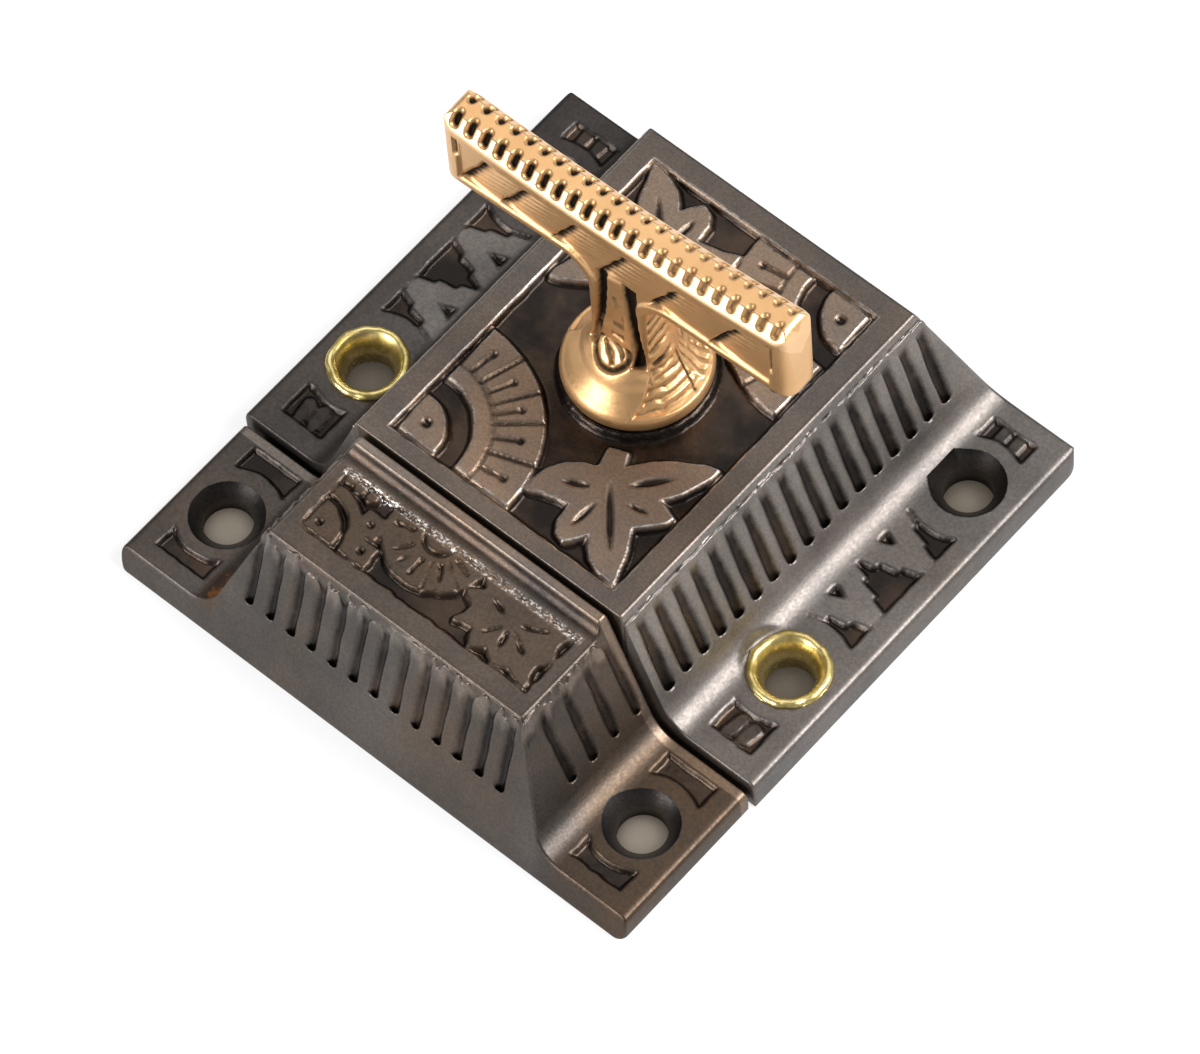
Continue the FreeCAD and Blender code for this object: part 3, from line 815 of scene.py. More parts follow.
@dataclass
class Casting:
    """A carved casting, grown from a fine grid laid over its plan. Sizes in millimetres and degrees."""

    node: str
    half_width: float
    near_y: float
    far_y: float
    height: float
    crest: float
    flange: float
    corner: float
    panel_half: float
    panel_near: float
    panel_far: float
    hole_x: float
    hole_y: float
    hole: float = 2.1
    sink_depth: float = 1.1
    sink_mouth: float = 3.34
    side_lean: float = 70.0
    end_lean: float = 71.6
    cove: float = 3.0
    crest_round: float = 1.9
    edge_round: float = 0.6
    split_round: float = 0.2
    coarse_rise: float = 0.03
    skin_wave: float = 0.003
    rub_reach: float = 0.16
    rub_inside: float = 0.06
    foot_land: float = 0.06

    def __post_init__(self) -> None:
        """Works out the runs of the leaning faces."""
        self.side_run = 1 / math.tan(math.radians(self.side_lean))
        self.end_run = 1 / math.tan(math.radians(self.end_lean))
        self.foot = self.crest + (self.height - self.flange) * self.side_run
        self.setback = self.cove * math.tan(math.radians(self.side_lean) / 2)
        self.slope_share = math.cos(math.radians(self.side_lean))

    def side_height(self, across: Array, top: Array) -> Array:
        """Height of the cross-section.

        Args:
            across: distances from the middle plane.
            top: height of the flat top at each point.

        Returns:
            The heights.
        """
        slope = self.height - (across - self.crest) / self.side_run
        centre = self.foot + self.setback
        start = self.foot - self.setback * self.slope_share
        reach = np.clip(across - centre, start - centre, 0.0)
        cove = self.flange + self.cove - np.sqrt(self.cove ** 2 - reach ** 2)
        low = np.where(across < start, slope, np.where(across < centre, cove, self.flange))
        over = np.clip(across - (self.half_width - self.edge_round), 0.0, self.edge_round)
        low = low - self.edge_round + np.sqrt(self.edge_round ** 2 - over ** 2)
        return self.soft_least(low, top, self.crest_round * 0.5)

    @staticmethod
    def soft_least(first: Array, second: Array, reach: float) -> Array:
        """Lesser of two heights, with their crossing rounded over the reach."""
        share = np.clip(0.5 + 0.5 * (second - first) / reach, 0.0, 1.0)
        return second * (1 - share) + first * share - reach * share * (1 - share) * 0.5

    def slope_flutes(self, centres: Row, foot_z: float, head: float, half: float) -> Figure:
        """Flutes down both side slopes, measured on the slope.

        Args:
            centres: places of the flutes along the casting.
            foot_z: height of their round feet.
            head: height of the crest above their heads.
            half: half a flute's width.

        Returns:
            The flutes as one figure over the plan.
        """
        share = self.slope_share
        start = head / math.sin(math.radians(self.side_lean))
        end = (self.height - foot_z) * self.side_run / share - half

        def distance(x: Array, y: Array) -> Array:
            """Distance on the unrolled slope to the nearest flute."""
            down = (np.abs(x) - self.crest) / share
            width = half * (0.86 + 0.14 * ease((down - start) / (0.7 * (end - start))))
            past = np.clip(down - end, 0.0, None)
            return np.maximum(np.hypot(past, centres.aside(y)) - width, start - down)

        return Figure(distance)

    def crest_groove(self, drop: float, half: float) -> Figure:
        """Groove along both slopes below the crest, measured on the slope."""
        middle = drop / math.sin(math.radians(self.side_lean))
        return Figure(lambda x, y: np.abs((np.abs(x) - self.crest) / self.slope_share - middle) - half)

    def top_height(self, x: Array, y: Array) -> Array:
        """Height of the top at each point of the plan, before the sides are taken off."""
        raise NotImplementedError

    def end_height(self, y: Array) -> Array:
        """Height of the leaning end at each point along."""
        raise NotImplementedError

    def cuts(self) -> list[Cut]:
        """Everything that is carved into the top, the slopes and the flanges."""
        raise NotImplementedError

    def stations(self) -> tuple[Array, Array]:
        """Places of the grid's lines across and along."""
        raise NotImplementedError

    def toned(self, x: Array, y: Array) -> tuple[Array, Array, Array]:
        """How light, how brown and how coarse the iron is at each point of the plan; the lightness holds
        painted light and shade as well as tone.
        """
        raise NotImplementedError

    def hollow_out(self) -> bpy.types.Object:
        """Everything that is cut from below and through the casting."""
        raise NotImplementedError

    def corner_y(self) -> float:
        """Which end has the rounded corners."""
        raise NotImplementedError

    def split_y(self) -> float:
        """Where the end that faces the other casting stands."""
        raise NotImplementedError

    def panel(self) -> Figure:
        """Outline of the carved panel on the top."""
        return Figure.box(-self.panel_half, self.panel_half, self.panel_near, self.panel_far)

    def on_panel(self, x: Array, y: Array) -> Array:
        """Which points of the plan lie on the panel."""
        return (np.abs(x) < self.panel_half) & (y > self.panel_near) & (y < self.panel_far)

    def add_screw_hole(self, bm: bmesh.types.BMesh, x: float) -> None:
        """Adds the bore and the countersink of a flange's screw hole."""
        add_round(bm, x, self.hole_y, -1, 5, self.hole, self.hole)
        low, high = self.flange - self.sink_depth, self.flange + 0.2
        add_round(bm, x, self.hole_y, low, high, self.hole, self.sink_mouth)

    def base(self, x: Array, y: Array) -> Array:
        """Height of the plain casting before it is carved."""
        ends = self.end_height(y)
        sides = self.side_height(np.abs(x), self.top_height(x, y))
        over = np.clip(self.split_round - np.abs(y - self.split_y()), 0.0, self.split_round)
        sides = sides - self.split_round + np.sqrt(self.split_round ** 2 - over ** 2)
        return self.soft_least(ends, sides, self.crest_round * 0.5)

    def round_corners(self, x: Array, y: Array) -> tuple[Array, Array]:
        """Draws the square corners of the plan onto arcs.

        Args:
            x: places across.
            y: places along.

        Returns:
            The moved places.
        """
        end = self.corner_y()
        inward = 1.0 if end < 0 else -1.0
        across = np.abs(x) - (self.half_width - self.corner)
        along = inward * (end + inward * self.corner - y)
        held = (across > 0) & (along > 0)
        most = np.maximum(across, along)
        scale = np.where(held, most / np.maximum(np.hypot(across, along), 1e-9), 1.0)
        new_x = np.where(held, np.sign(x) * (self.half_width - self.corner + across * scale), x)
        new_y = np.where(held, end + inward * (self.corner - along * scale), y)
        return new_x, new_y

    def draw_to_edges(self, x: Array, y: Array, cuts: list[Cut]) -> tuple[Array, Array]:
        """Moves grid points onto the carved edges so that these run clean.

        Args:
            x: places across, as a grid.
            y: places along, as a grid.
            cuts: what is carved.

        Returns:
            The moved places.
        """
        step_x, step_y = np.gradient(x, axis=1), np.gradient(y, axis=0)
        best = np.full(x.shape, 0.49)
        best[0, :] = best[-1, :] = best[:, 0] = best[:, -1] = 0.0
        new_x, new_y = x.copy(), y.copy()
        small = 0.004
        for cut in cuts:
            here = cut.figure.distance(x, y)
            gx = (cut.figure.distance(x + small, y) - here) / small
            gy = (cut.figure.distance(x, y + small) - here) / small
            square = np.maximum(gx * gx + gy * gy, 1e-6)
            dx, dy = -here * gx / square, -here * gy / square
            score = np.maximum(np.abs(dx) / step_x, np.abs(dy) / step_y)
            take = score < best
            best = np.where(take, score, best)
            new_x = np.where(take, x + dx, new_x)
            new_y = np.where(take, y + dy, new_y)
        return new_x, new_y

    def carve(self) -> tuple[Array, Array, dict[Mark, Array], tuple[int, int]]:
        """Works out the carved top.

        Returns:
            Plan places, heights, the marks for the finish, and the grid's size.
        """
        across, along = self.stations()
        x, y = np.meshgrid(across, along)
        cuts = self.cuts()
        x, y = self.draw_to_edges(x, y, cuts)
        x, y = self.round_corners(x, y)
        drop, hollow, rub, crust = (np.zeros(x.shape) for _ in range(4))
        for cut in cuts:
            here = cut.figure.distance(x, y)
            depth = ease(-here / cut.wall)
            drop = np.maximum(drop, cut.depth * depth) if cut.depth >= 0 else drop + cut.depth * depth
            hollow = np.maximum(hollow, cut.dark * depth)
            crust = np.maximum(crust, cut.crust * depth)
            faded = np.exp(-np.clip(here, 0.0, None) / self.rub_reach) * (here > -self.rub_inside)
            rub = np.maximum(rub, cut.rub * faded)
        z = self.base(x, y) - drop + self.skin_wave * Ripple(5, 2.3).at(x, y)
        light, brown, rough = self.toned(x, y)
        crust = np.maximum(crust, rough)
        z = z + self.coarse_rise * crust * Ripple(6, 0.3).at(x, y)
        z = np.clip(z, self.foot_land, None)
        marks = {Mark.HOLLOW: hollow, Mark.RUB: rub * (1 - hollow), Mark.LIGHT: light, Mark.BROWN: brown,
                 Mark.CRUST: crust}
        return np.stack([x, y], -1), z, marks, (len(across), len(along))

    def build(self) -> bpy.types.Object:
        """Builds the casting.

        Returns:
            The casting as a closed mesh.
        """
        plan, z, marks, (nx, ny) = self.carve()
        bm = bmesh.new()
        bmesh.ops.create_grid(bm, x_segments=nx - 1, y_segments=ny - 1, size=0.5)
        bm.verts.ensure_lookup_table()
        grid = np.array([v.co for v in bm.verts])
        order = np.lexsort((grid[:, 0], np.round(grid[:, 1], 7)))
        points = np.concatenate([plan, z[..., None]], -1).reshape(-1, 3) * MM
        layers = {mark: bm.verts.layers.float.new(mark.value) for mark in Mark}
        values = {mark: value.ravel() for mark, value in marks.items()}
        for place, k in enumerate(order):
            vert = bm.verts[k]
            vert.co = points[place]
            for mark, value in values.items():
                vert[layers[mark]] = value[place]
            vert[layers[Mark.SKIN]] = 1.0
        rim = [e for e in bm.edges if e.is_boundary]
        skirt = bmesh.ops.extrude_edge_only(bm, edges=rim)["geom"]
        for vert in (g for g in skirt if isinstance(g, bmesh.types.BMVert)):
            vert.co.z = 0.0
        bmesh.ops.contextual_create(bm, geom=[g for g in skirt if isinstance(g, bmesh.types.BMEdge)])
        bmesh.ops.recalc_face_normals(bm, faces=bm.faces)
        for face in bm.faces:
            face.smooth = True
        made = make_object(self.node + "_carved", bm)
        cut_away(made, self.hollow_out())
        self.sharpen(made)
        return made

    def sharpen(self, made: bpy.types.Object) -> None:
        """Keeps the bored and sawn edges sharp and the carved ones rounded.

        Args:
            made: the casting after it was cut.
        """
        bm = bmesh.new()
        bm.from_mesh(made.data)
        skin = bm.verts.layers.float.get(Mark.SKIN.value)
        for edge in bm.edges:
            cut = all(v[skin] < 0.5 or v.co.z < 1e-6 for v in edge.verts)
            edge.smooth = not (cut and edge.calc_face_angle(0.0) > math.radians(25))
        for face in bm.faces:
            face.smooth = True
        bm.to_mesh(made.data)
        bm.free()


@dataclass
class LatchCase(Casting):
    """The case: fluted sides, a carved panel round the spindle, leafed flanges."""

    node: str = "latch_case"
    half_width: float = 27.0
    near_y: float = -12.5
    far_y: float = 28.4
    height: float = 15.5
    crest: float = 13.9
    flange: float = 3.2
    corner: float = 2.2
    wall: float = 2.0
    panel_half: float = 11.8
    panel_near: float = -11.0
    panel_far: float = 21.24
    panel_depth: float = 0.72
    spindle_y: float = 5.6
    seat_radius: float = 6.2
    hole_x: float = 22.3
    hole_y: float = 19.4
    eyelet_y: float = -2.75
    seat_of_eyelet: float = 3.65

    def top_height(self, x: Array, y: Array) -> Array:
        """Flat crest."""
        return np.full(x.shape, self.height)

    def end_height(self, y: Array) -> Array:
        """Leaning far end."""
        return (self.far_y - y) / self.end_run

    def corner_y(self) -> float:
        """The far end has the rounded corners."""
        return self.far_y

    def split_y(self) -> float:
        """The near end faces the strike."""
        return self.near_y

    def base(self, x: Array, y: Array) -> Array:
        """Plain casting with a flat seat for each eyelet."""
        plain = super().base(x, y)
        apart = np.hypot(np.abs(x) - self.hole_x, y - self.eyelet_y)
        seated = ease((self.seat_of_eyelet + 0.45 - apart) / 0.6)
        return plain - seated * np.clip(plain - self.flange, 0.0, None)

    def stations(self) -> tuple[Array, Array]:
        """Fine over the panel and the flanges, finer down the slopes."""
        right = runs((0, 13.3, 0.17), (13.3, 14.75, 0.075), (14.75, 16.7, 0.15), (16.7, 17.7, 0.085),
                     (17.7, 19.8, 0.22), (19.8, 25.3, 0.17), (25.3, 26.7, 0.25), (26.7, 27.0, 0.1))
        across = np.concatenate([-right[:0:-1], right])
        along = runs((self.near_y, self.near_y + 0.3, 0.1), (self.near_y + 0.3, 26.0, 0.17),
                     (26.0, self.far_y - self.foot_land * self.end_run, 0.2))
        return across, along

    def fan(self) -> tuple[Figure, Figure]:
        """Fan in the near left corner: its eye and band of blades, and the slits and dots cut in them."""
        cx, cy = centre = (-10.95, -10.2)
        eye = Figure.sector(cx - 0.1, cy - 0.2, 0, 3.6, -2, 92)
        fan = eye | Figure.sector(cx, cy, 5.7, 11.15, -1.5, 90.5)
        marks = [Figure.disc(cx + 1.35, cy + 1.35, 0.52), Figure.sector(cx, cy, 7.0, 7.42, -3, 93)]
        for start, end in ((73.5, 90.5), (56.0, 70.5), (41.5, 53.0), (22.0, 38.5), (-1.5, 18.0)):
            middle = (start + end) / 2
            u, v = math.cos(math.radians(middle)), math.sin(math.radians(middle))
            marks.append(Figure.spoke(centre, middle, 7.3, 9.3, 0.27))
            marks.append(Figure.disc(cx + 9.5 * u, cy + 9.5 * v, 0.42))
            marks.append(Figure.spoke(centre, end + 1.6, 7.2, 11.4, 0.27))
        return fan, Figure.joined(marks)

    def leaf(self) -> tuple[Figure, Figure]:
        """Lobed leaf in the near right corner, its stem towards the spindle, and the veins cut in it."""
        outline = [(3.04, -1.43), (4.55, -0.87), (5.18, -2.06), (6.7, -0.13), (7.63, 0.64),
                   (8.96, 1.49), (10.07, 2.23), (11.09, 2.52), (11.08, 1.79), (10.69, 0.39),
                   (10.26, -0.95), (9.23, -2.6), (10.05, -2.73), (11.15, -3.09), (11.0, -3.83),
                   (10.25, -4.62), (9.14, -5.81), (10.13, -7.32), (10.57, -8.38), (11.36, -10.58),
                   (10.58, -10.5), (9.49, -10.34), (8.35, -9.85), (7.51, -9.11), (6.95, -8.32),
                   (6.3, -9.49), (5.75, -10.13), (4.81, -9.75), (4.18, -8.89), (3.98, -7.25),
                   (2.82, -7.47), (1.63, -7.8), (0.39, -8.35), (0.28, -7.1), (0.55, -5.72),
                   (1.31, -4.6), (2.48, -3.69), (3.57, -3.24)]
        veins = [((4.93, -3.61), (9.33, -8.6), 0.40), ((6.55, -3.09), (8.98, -0.2), 0.42),
                 ((7.5, -4.38), (9.39, -3.99), 0.34), ((5.55, -5.8), (5.34, -8.66), 0.36),
                 ((2.03, -6.05), (4.32, -4.93), 0.38)]
        return Figure.outline(outline), Figure.joined(Figure.bar(*vein, taper=0.75) for vein in veins)

    def flange_leaf(self, y: float) -> Figure:
        """Small notched leaf that points out across the flange, with an eye at its root."""
        half = [(-0.6, -3.1), (1.25, -2.45), (1.35, -1.95), (2.95, -1.65), (3.1, -1.25), (4.5, -0.8),
                (4.75, -0.25)]
        points = half + [(u, -v) for u, v in reversed(half)]
        leaf = Figure.outline([(20.1 + u, y + v) for u, v in points])
        eye = Figure.outline([(20.0, y - 0.75), (21.75, y), (20.0, y + 0.75)])
        return leaf - eye

    def flange_leaves(self) -> Figure:
        """Both leaves of the right flange."""
        return self.flange_leaf(5.1) | self.flange_leaf(11.35)

    def flange_ribs(self) -> Figure:
        """Low ribs in the small fields of both flanges."""
        ribs = [((22.0, -9.7), (22.2, -8.4), 0.34), ((23.4, -9.7), (23.6, -8.4), 0.34),
                ((21.5, 24.2), (21.5, 25.1), 0.26), ((23.0, 24.2), (23.0, 25.1), 0.26)]
        return Figure.joined(Figure.bar(*rib) for rib in ribs).both_sides()

    def flange_ground(self) -> Figure:
        """Sunk fields of the flanges: the leaf field and the ones by the screw holes."""
        rings = Figure.disc(self.hole_x, self.eyelet_y, 5.05) | Figure.disc(self.hole_x, self.hole_y, 5.1)
        field = Figure.box(20.05, 24.98, 1.55, 14.95) - rings
        by_eyelet = Figure.box(20.5, 25.0, -10.6, -7.0) - Figure.disc(self.hole_x, self.eyelet_y, 4.7)
        far = Figure.box(19.9, 24.6, 22.8, 25.6) - Figure.disc(self.hole_x, self.hole_y, 4.35)
        return ((field - self.flange_leaves()) | by_eyelet | far).both_sides()

    def cuts(self) -> list[Cut]:
        """Panel ground, flange fields, flutes and the groove under the crest."""
        middle = (self.panel_near + self.panel_far) / 2
        (fan, slits), (leaf, veins) = self.fan(), self.leaf()
        figures, lines = fan | leaf, slits | veins
        figures = figures | figures.half_turned(middle) | Figure.disc(0, self.spindle_y, self.seat_radius)
        lines = lines | lines.half_turned(middle)
        uneven = Ripple(11, 0.8)
        steep = 1 / self.slope_share
        flutes = self.slope_flutes(Row(-11.0, 2.12, 17), 6.1, 1.25, 0.78).ragged(Ripple(13, 0.6), 0.06)
        groove = self.crest_groove(0.62, 0.3).ragged(Ripple(3, 0.5), 0.14)
        bead = self.crest_groove(1.05, 0.34).ragged(Ripple(3, 0.6), 0.16)
        seat = Figure.disc(0, self.spindle_y, self.seat_radius + 0.75).ragged(uneven, 0.1)
        ground = (self.panel() - figures).ragged(uneven, 0.05)
        fields = self.flange_ground()
        deep_fields = (fields - self.flange_ribs()).ragged(uneven, 0.07)
        return [Cut(ground, self.panel_depth, wall=0.46, rub=0.8, crust=0.15),
                Cut(lines, 0.32, wall=0.30, dark=0.8, rub=0.25, crust=0.0),
                Cut(seat, 0.0, wall=0.5, dark=1.3, rub=0.0, crust=0.5),
                Cut(deep_fields, 0.5, wall=0.42, dark=0.95, rub=0.0, crust=0.0),
                Cut(fields.ragged(uneven, 0.07), 0.26, wall=0.4, dark=0.55, rub=0.5, crust=0.1),
                Cut(flutes, 0.42 * steep, wall=0.55, dark=0.85, rub=0.45, crust=0.2),
                Cut(groove, 0.10 * steep, wall=0.3, dark=0.45, rub=0.2, crust=0.2),
                Cut(bead, -0.08 * steep, wall=0.3, dark=0.0, rub=0.3, crust=0.5)]

    def toned(self, x: Array, y: Array) -> tuple[Array, Array, Array]:
        """Light on the panel's figures, darker on its rim and more so towards the far end, darkest on the
        flanges; painted light on the slopes and painted shade on the left flange, deepening towards the far
        end.
        """
        across = np.abs(x)
        panel = self.on_panel(x, y)
        slope = ease((across - self.crest + 0.3) / 0.4)
        flat = ease((across - self.foot + 0.6) / 1.2)
        leaf = -self.flange_leaves().distance(across, y)
        # Painted shade: the left flange darker, and darker still towards the far end.
        painted_side_shade = (1 - 0.58 * (x < 0)) * (1 - 0.6 * ease((y - 12.0) / 12.0) * (x < 0))
        # Painted light: the slopes beside the panel lightened.
        light = np.where(panel, 0.98, 0.52 - 0.08 * ease((y - 8.0) / 14.0)) + 0.45 * slope * ~panel
        light = light * (1 - flat) + flat * (0.56 * painted_side_shade + (0.22 + 0.14 * (x < 0)) * ease(leaf / 0.2))
        stain = ease(Ripple(21, 9.0).at(x, y))
        brown = np.where(panel, 0.9, 0.5) - 0.38 * slope * ~panel + 0.25 * stain * flat
        down = (across - self.crest) / self.slope_share
        crust = 0.45 * ease((down - 0.7) / 0.3) * ease((1.9 - down) / 0.5)
        return light, brown, crust

    def hollow_out(self) -> bpy.types.Object:
        """Hollow with its boss and spring pad, bolt window, plate seat, bores and screw holes."""
        top, run = 12.9, self.side_run
        low = self.crest + self.height * run - self.wall / math.sin(math.radians(self.side_lean))
        high = low - top * run
        near, far = self.near_y + self.wall, self.far_y - self.wall / math.sin(math.radians(self.end_lean))
        far_top = far - top * self.end_run
        bm = bmesh.new()
        add_block(bm, [(-low, near), (low, near), (low, far), (-low, far)],
                  [(-high, near), (high, near), (high, far_top), (-high, far_top)], 0.0, top)
        hollow = make_object("case_hollow", bm)
        kept = bmesh.new()
        add_round(kept, 0, self.spindle_y, 9.0, 16.0, 5.0, 5.0)
        add_box(kept, -11, 11, 20.86, 30, 1.4, 8.5)
        cut_away(hollow, make_object("case_kept", kept))
        bm = bmesh.new()
        bm.from_mesh(hollow.data)
        bpy.data.objects.remove(hollow)
        add_box(bm, -6.2, 6.2, self.near_y - 1, near + 1, -1, 8.7)
        add_box(bm, -18.8, 18.8, self.near_y + 0.6, self.far_y - 1, -1, 1.2)
        add_box(bm, -self.hole_x, self.hole_x, self.eyelet_y - 4.2, self.eyelet_y + 4.2, -1, 1.2)
        add_round(bm, 0, self.spindle_y, 1, 17, 2.65, 2.65)
        for x in (-self.hole_x, self.hole_x):
            add_round(bm, x, self.eyelet_y, -1, 1.2, 4.2, 4.2)
            add_round(bm, x, self.eyelet_y, -1, 5, 2.73, 2.73)
            self.add_screw_hole(bm, x)
        return make_object("case_cutter", bm)


@dataclass
class Strike(Casting):
    """The strike: fluted on three sides, carved on top, with a lip along the split."""

    node: str = "strike"
    coarse_rise: float = 0.06
    half_width: float = 26.7
    near_y: float = -28.4
    far_y: float = -13.0
    height: float = 14.2
    crest: float = 13.3
    flange: float = 2.5
    corner: float = 0.8
    wall: float = 1.8
    lip_height: float = 15.5
    lip_thickness: float = 0.8
    lip_cove: float = 1.5
    panel_half: float = 12.0
    panel_near: float = -21.75
    panel_far: float = -15.3
    rust_x: float = -17.6
    rust_y: float = -25.6
    hole_x: float = 22.0
    hole_y: float = -20.3

    def top_height(self, x: Array, y: Array) -> Array:
        """Flat top that sweeps up to the lip."""
        lip = self.far_y - self.lip_thickness
        over = np.clip(y - (lip - self.lip_cove), 0.0, self.lip_cove)
        rise = self.lip_cove - np.sqrt(self.lip_cove ** 2 - over ** 2)
        return np.minimum(self.height + rise, self.lip_height)

    def end_height(self, y: Array) -> Array:
        """Leaning front."""
        return (y - self.near_y) / self.end_run

    def corner_y(self) -> float:
        """The front has the rounded corners."""
        return self.near_y

    def split_y(self) -> float:
        """The far end faces the case."""
        return self.far_y

    def stations(self) -> tuple[Array, Array]:
        """Fine over the panel, finer down the slopes and the front."""
        right = runs((0, 12.6, 0.14), (12.6, 14.2, 0.07), (14.2, 15.8, 0.13), (15.8, 17.0, 0.085),
                     (17.0, 19.2, 0.22), (19.2, 24.9, 0.16), (24.9, 26.4, 0.25), (26.4, 26.7, 0.1))
        across = np.concatenate([-right[:0:-1], right])
        start = self.near_y + self.foot_land * self.end_run
        along = runs((start, -26.6, 0.13), (-26.6, -25.9, 0.07), (-25.9, -24.4, 0.12), (-24.4, -23.4, 0.07),
                     (-23.4, self.far_y - 0.3, 0.13), (self.far_y - 0.3, self.far_y, 0.1))
        return across, along

    def front_flutes(self, centres: Row, foot_z: float, head: float, half: float) -> Figure:
        """Flutes down the leaning front, measured on it."""
        share = math.cos(math.radians(self.end_lean))
        rise = math.sin(math.radians(self.end_lean))
        crest_y = self.front_y()
        start, end = head / rise, (self.height - foot_z) / rise - half

        def distance(x: Array, y: Array) -> Array:
            """Distance on the front to the nearest flute."""
            down = (crest_y - y) / share
            past = np.clip(down - end, 0.0, None)
            return np.maximum(np.hypot(past, centres.aside(x)) - half, start - down)

        return Figure(distance)

    def panel_figures(self) -> Figure:
        """Corner fan, dots, two squares, half flower and star leaf of the top."""
        fan = Figure.sector(-11.6, -21.4, 0, 2.9, 0, 90) - Figure.disc(-10.7, -20.5, 0.38)
        parts = [fan, Figure.sector(-11.6, -21.4, 3.6, 4.5, 0, 90)]
        for x, y in ((-11.4, -15.95), (-10.2, -16.1), (-8.98, -16.17)):
            parts.append(Figure.disc(x, y, 0.45))
        for x, y in ((-7.35, -18.13), (-6.46, -20.43)):
            parts.append(Figure.box(x - 1.05, x + 1.05, y - 1.0, y + 1.0) - Figure.disc(x, y, 0.42))
        cx, cy = centre = (-2.19, -15.5)
        parts.append(Figure.disc(cx, cy, 1.2) & Figure.box(-9, 9, -30, cy))
        for start, end in ((184, 212), (217, 247), (252, 288), (293, 323), (328, 356)):
            petal = Figure.sector(cx, cy, 1.7, 4.7, start, end)
            parts.append(petal - Figure.spoke(centre, (start + end) / 2, 2.4, 3.9, 0.2))
        return Figure.joined(parts + [self.star_leaf()])

    def star_leaf(self) -> Figure:
        """Notched leaf in the right half, its veins a star."""
        leaf = Figure.outline([(2.6, -15.6), (11.5, -15.5), (11.2, -17.0), (11.7, -18.4), (10.9, -19.4),
                               (11.5, -21.5), (9.4, -20.9), (8.0, -21.4), (6.9, -20.6), (5.6, -21.5),
                               (4.9, -20.0), (3.2, -20.2), (3.6, -18.6), (2.3, -17.6), (3.5, -16.7)])
        veins = ((-30, 3.3), (25, 3.0), (-75, 2.7), (-125, 2.6), (160, 2.8))
        centre = (7.04, -17.83)
        star = Figure.joined(Figure.spoke(centre, angle, 0.7, length, 0.26, 0.7) for angle, length in veins)
        return leaf - star

    def front_y(self) -> float:
        """Where the leaning front meets the top."""
        return self.near_y + self.height * self.end_run

    def crest_edge(self) -> Figure:
        """Ragged raised edge that runs under the crest along the front and both sides."""
        front_y, out = self.front_y(), self.crest + 0.1
        front = Figure.box(-self.crest, self.crest, front_y - 0.85, front_y - 0.15)
        side = Figure.box(out, out + 0.75, front_y - 0.6, self.far_y - 1.6).both_sides()
        return (front | side).ragged(Ripple(16, 0.5), 0.26)

    def cuts(self) -> list[Cut]:
        """Panel ground, flange fields, side and front flutes and their ragged heads."""
        uneven, coarse = Ripple(12, 0.7), Ripple(14, 0.5)
        ground = (self.panel() - self.panel_figures()).ragged(uneven, 0.12)
        steep, front_steep = 1 / self.slope_share, 1 / math.cos(math.radians(self.end_lean))
        sides = self.slope_flutes(Row(-21.9, 2.6, 4), 5.4, 1.0, 0.62).ragged(coarse, 0.08)
        front = self.front_flutes(Row(-13.75, 2.2, 13), 5.8, 0.75, 0.60).ragged(coarse, 0.08)
        near_field = Figure.box(19.4, 24.7, -26.0, -23.5) - Figure.disc(self.hole_x, self.hole_y, 4.1)
        far_field = Figure.box(19.4, 24.7, -16.5, -14.0) - Figure.disc(self.hole_x, self.hole_y, 4.45)
        fields = (near_field | far_field).both_sides().ragged(uneven, 0.07)
        lip = self.far_y - self.lip_thickness
        cove = Figure.box(-self.crest, self.crest, lip - 0.75 * self.lip_cove, lip + 0.1)
        return [Cut(ground, 0.6, wall=0.42, dark=0.85, crust=0.35),
                # Painted shade: the cove under the lip darkened, with no cut.
                Cut(cove, 0.0, wall=0.4, dark=0.62, rub=0.0, crust=0.0),
                Cut(fields, 0.5, wall=0.4, dark=0.9, rub=0.4),
                Cut(sides, 0.36 * steep, wall=0.46, dark=0.75, rub=0.3, crust=0.4),
                Cut(front, 0.38 * front_steep, wall=0.5, dark=0.8, rub=0.25, crust=0.3),
                Cut(self.crest_edge(), -0.42, wall=0.3, dark=0.0, rub=0.0, crust=0.4)]

    def toned(self, x: Array, y: Array) -> tuple[Array, Array, Array]:
        """Darker and browner than the case, with a patch of rust, coarse at the foot of the lip; a painted
        highlight band with painted glints at that foot, lighter on the lip's top and the raised crest edge,
        darker on the flanges, and a little painted shade on the leaning front.
        """
        across, front_y = np.abs(x), self.front_y()
        panel = self.on_panel(x, y)
        flat = ease((across - self.foot + 0.6) / 1.2)
        front = ease((front_y + 0.2 - y) / 0.4)
        lip = self.far_y - self.lip_thickness
        foot = lip - self.lip_cove - 0.25
        # Painted highlight: a bright band at the foot of the lip's cove, coarse as well so that it takes
        # painted glints.
        painted_glint_band = ease((y - foot + 0.55) / 0.3) * ease((foot + 0.6 - y) / 0.4) * (across < 12.4)
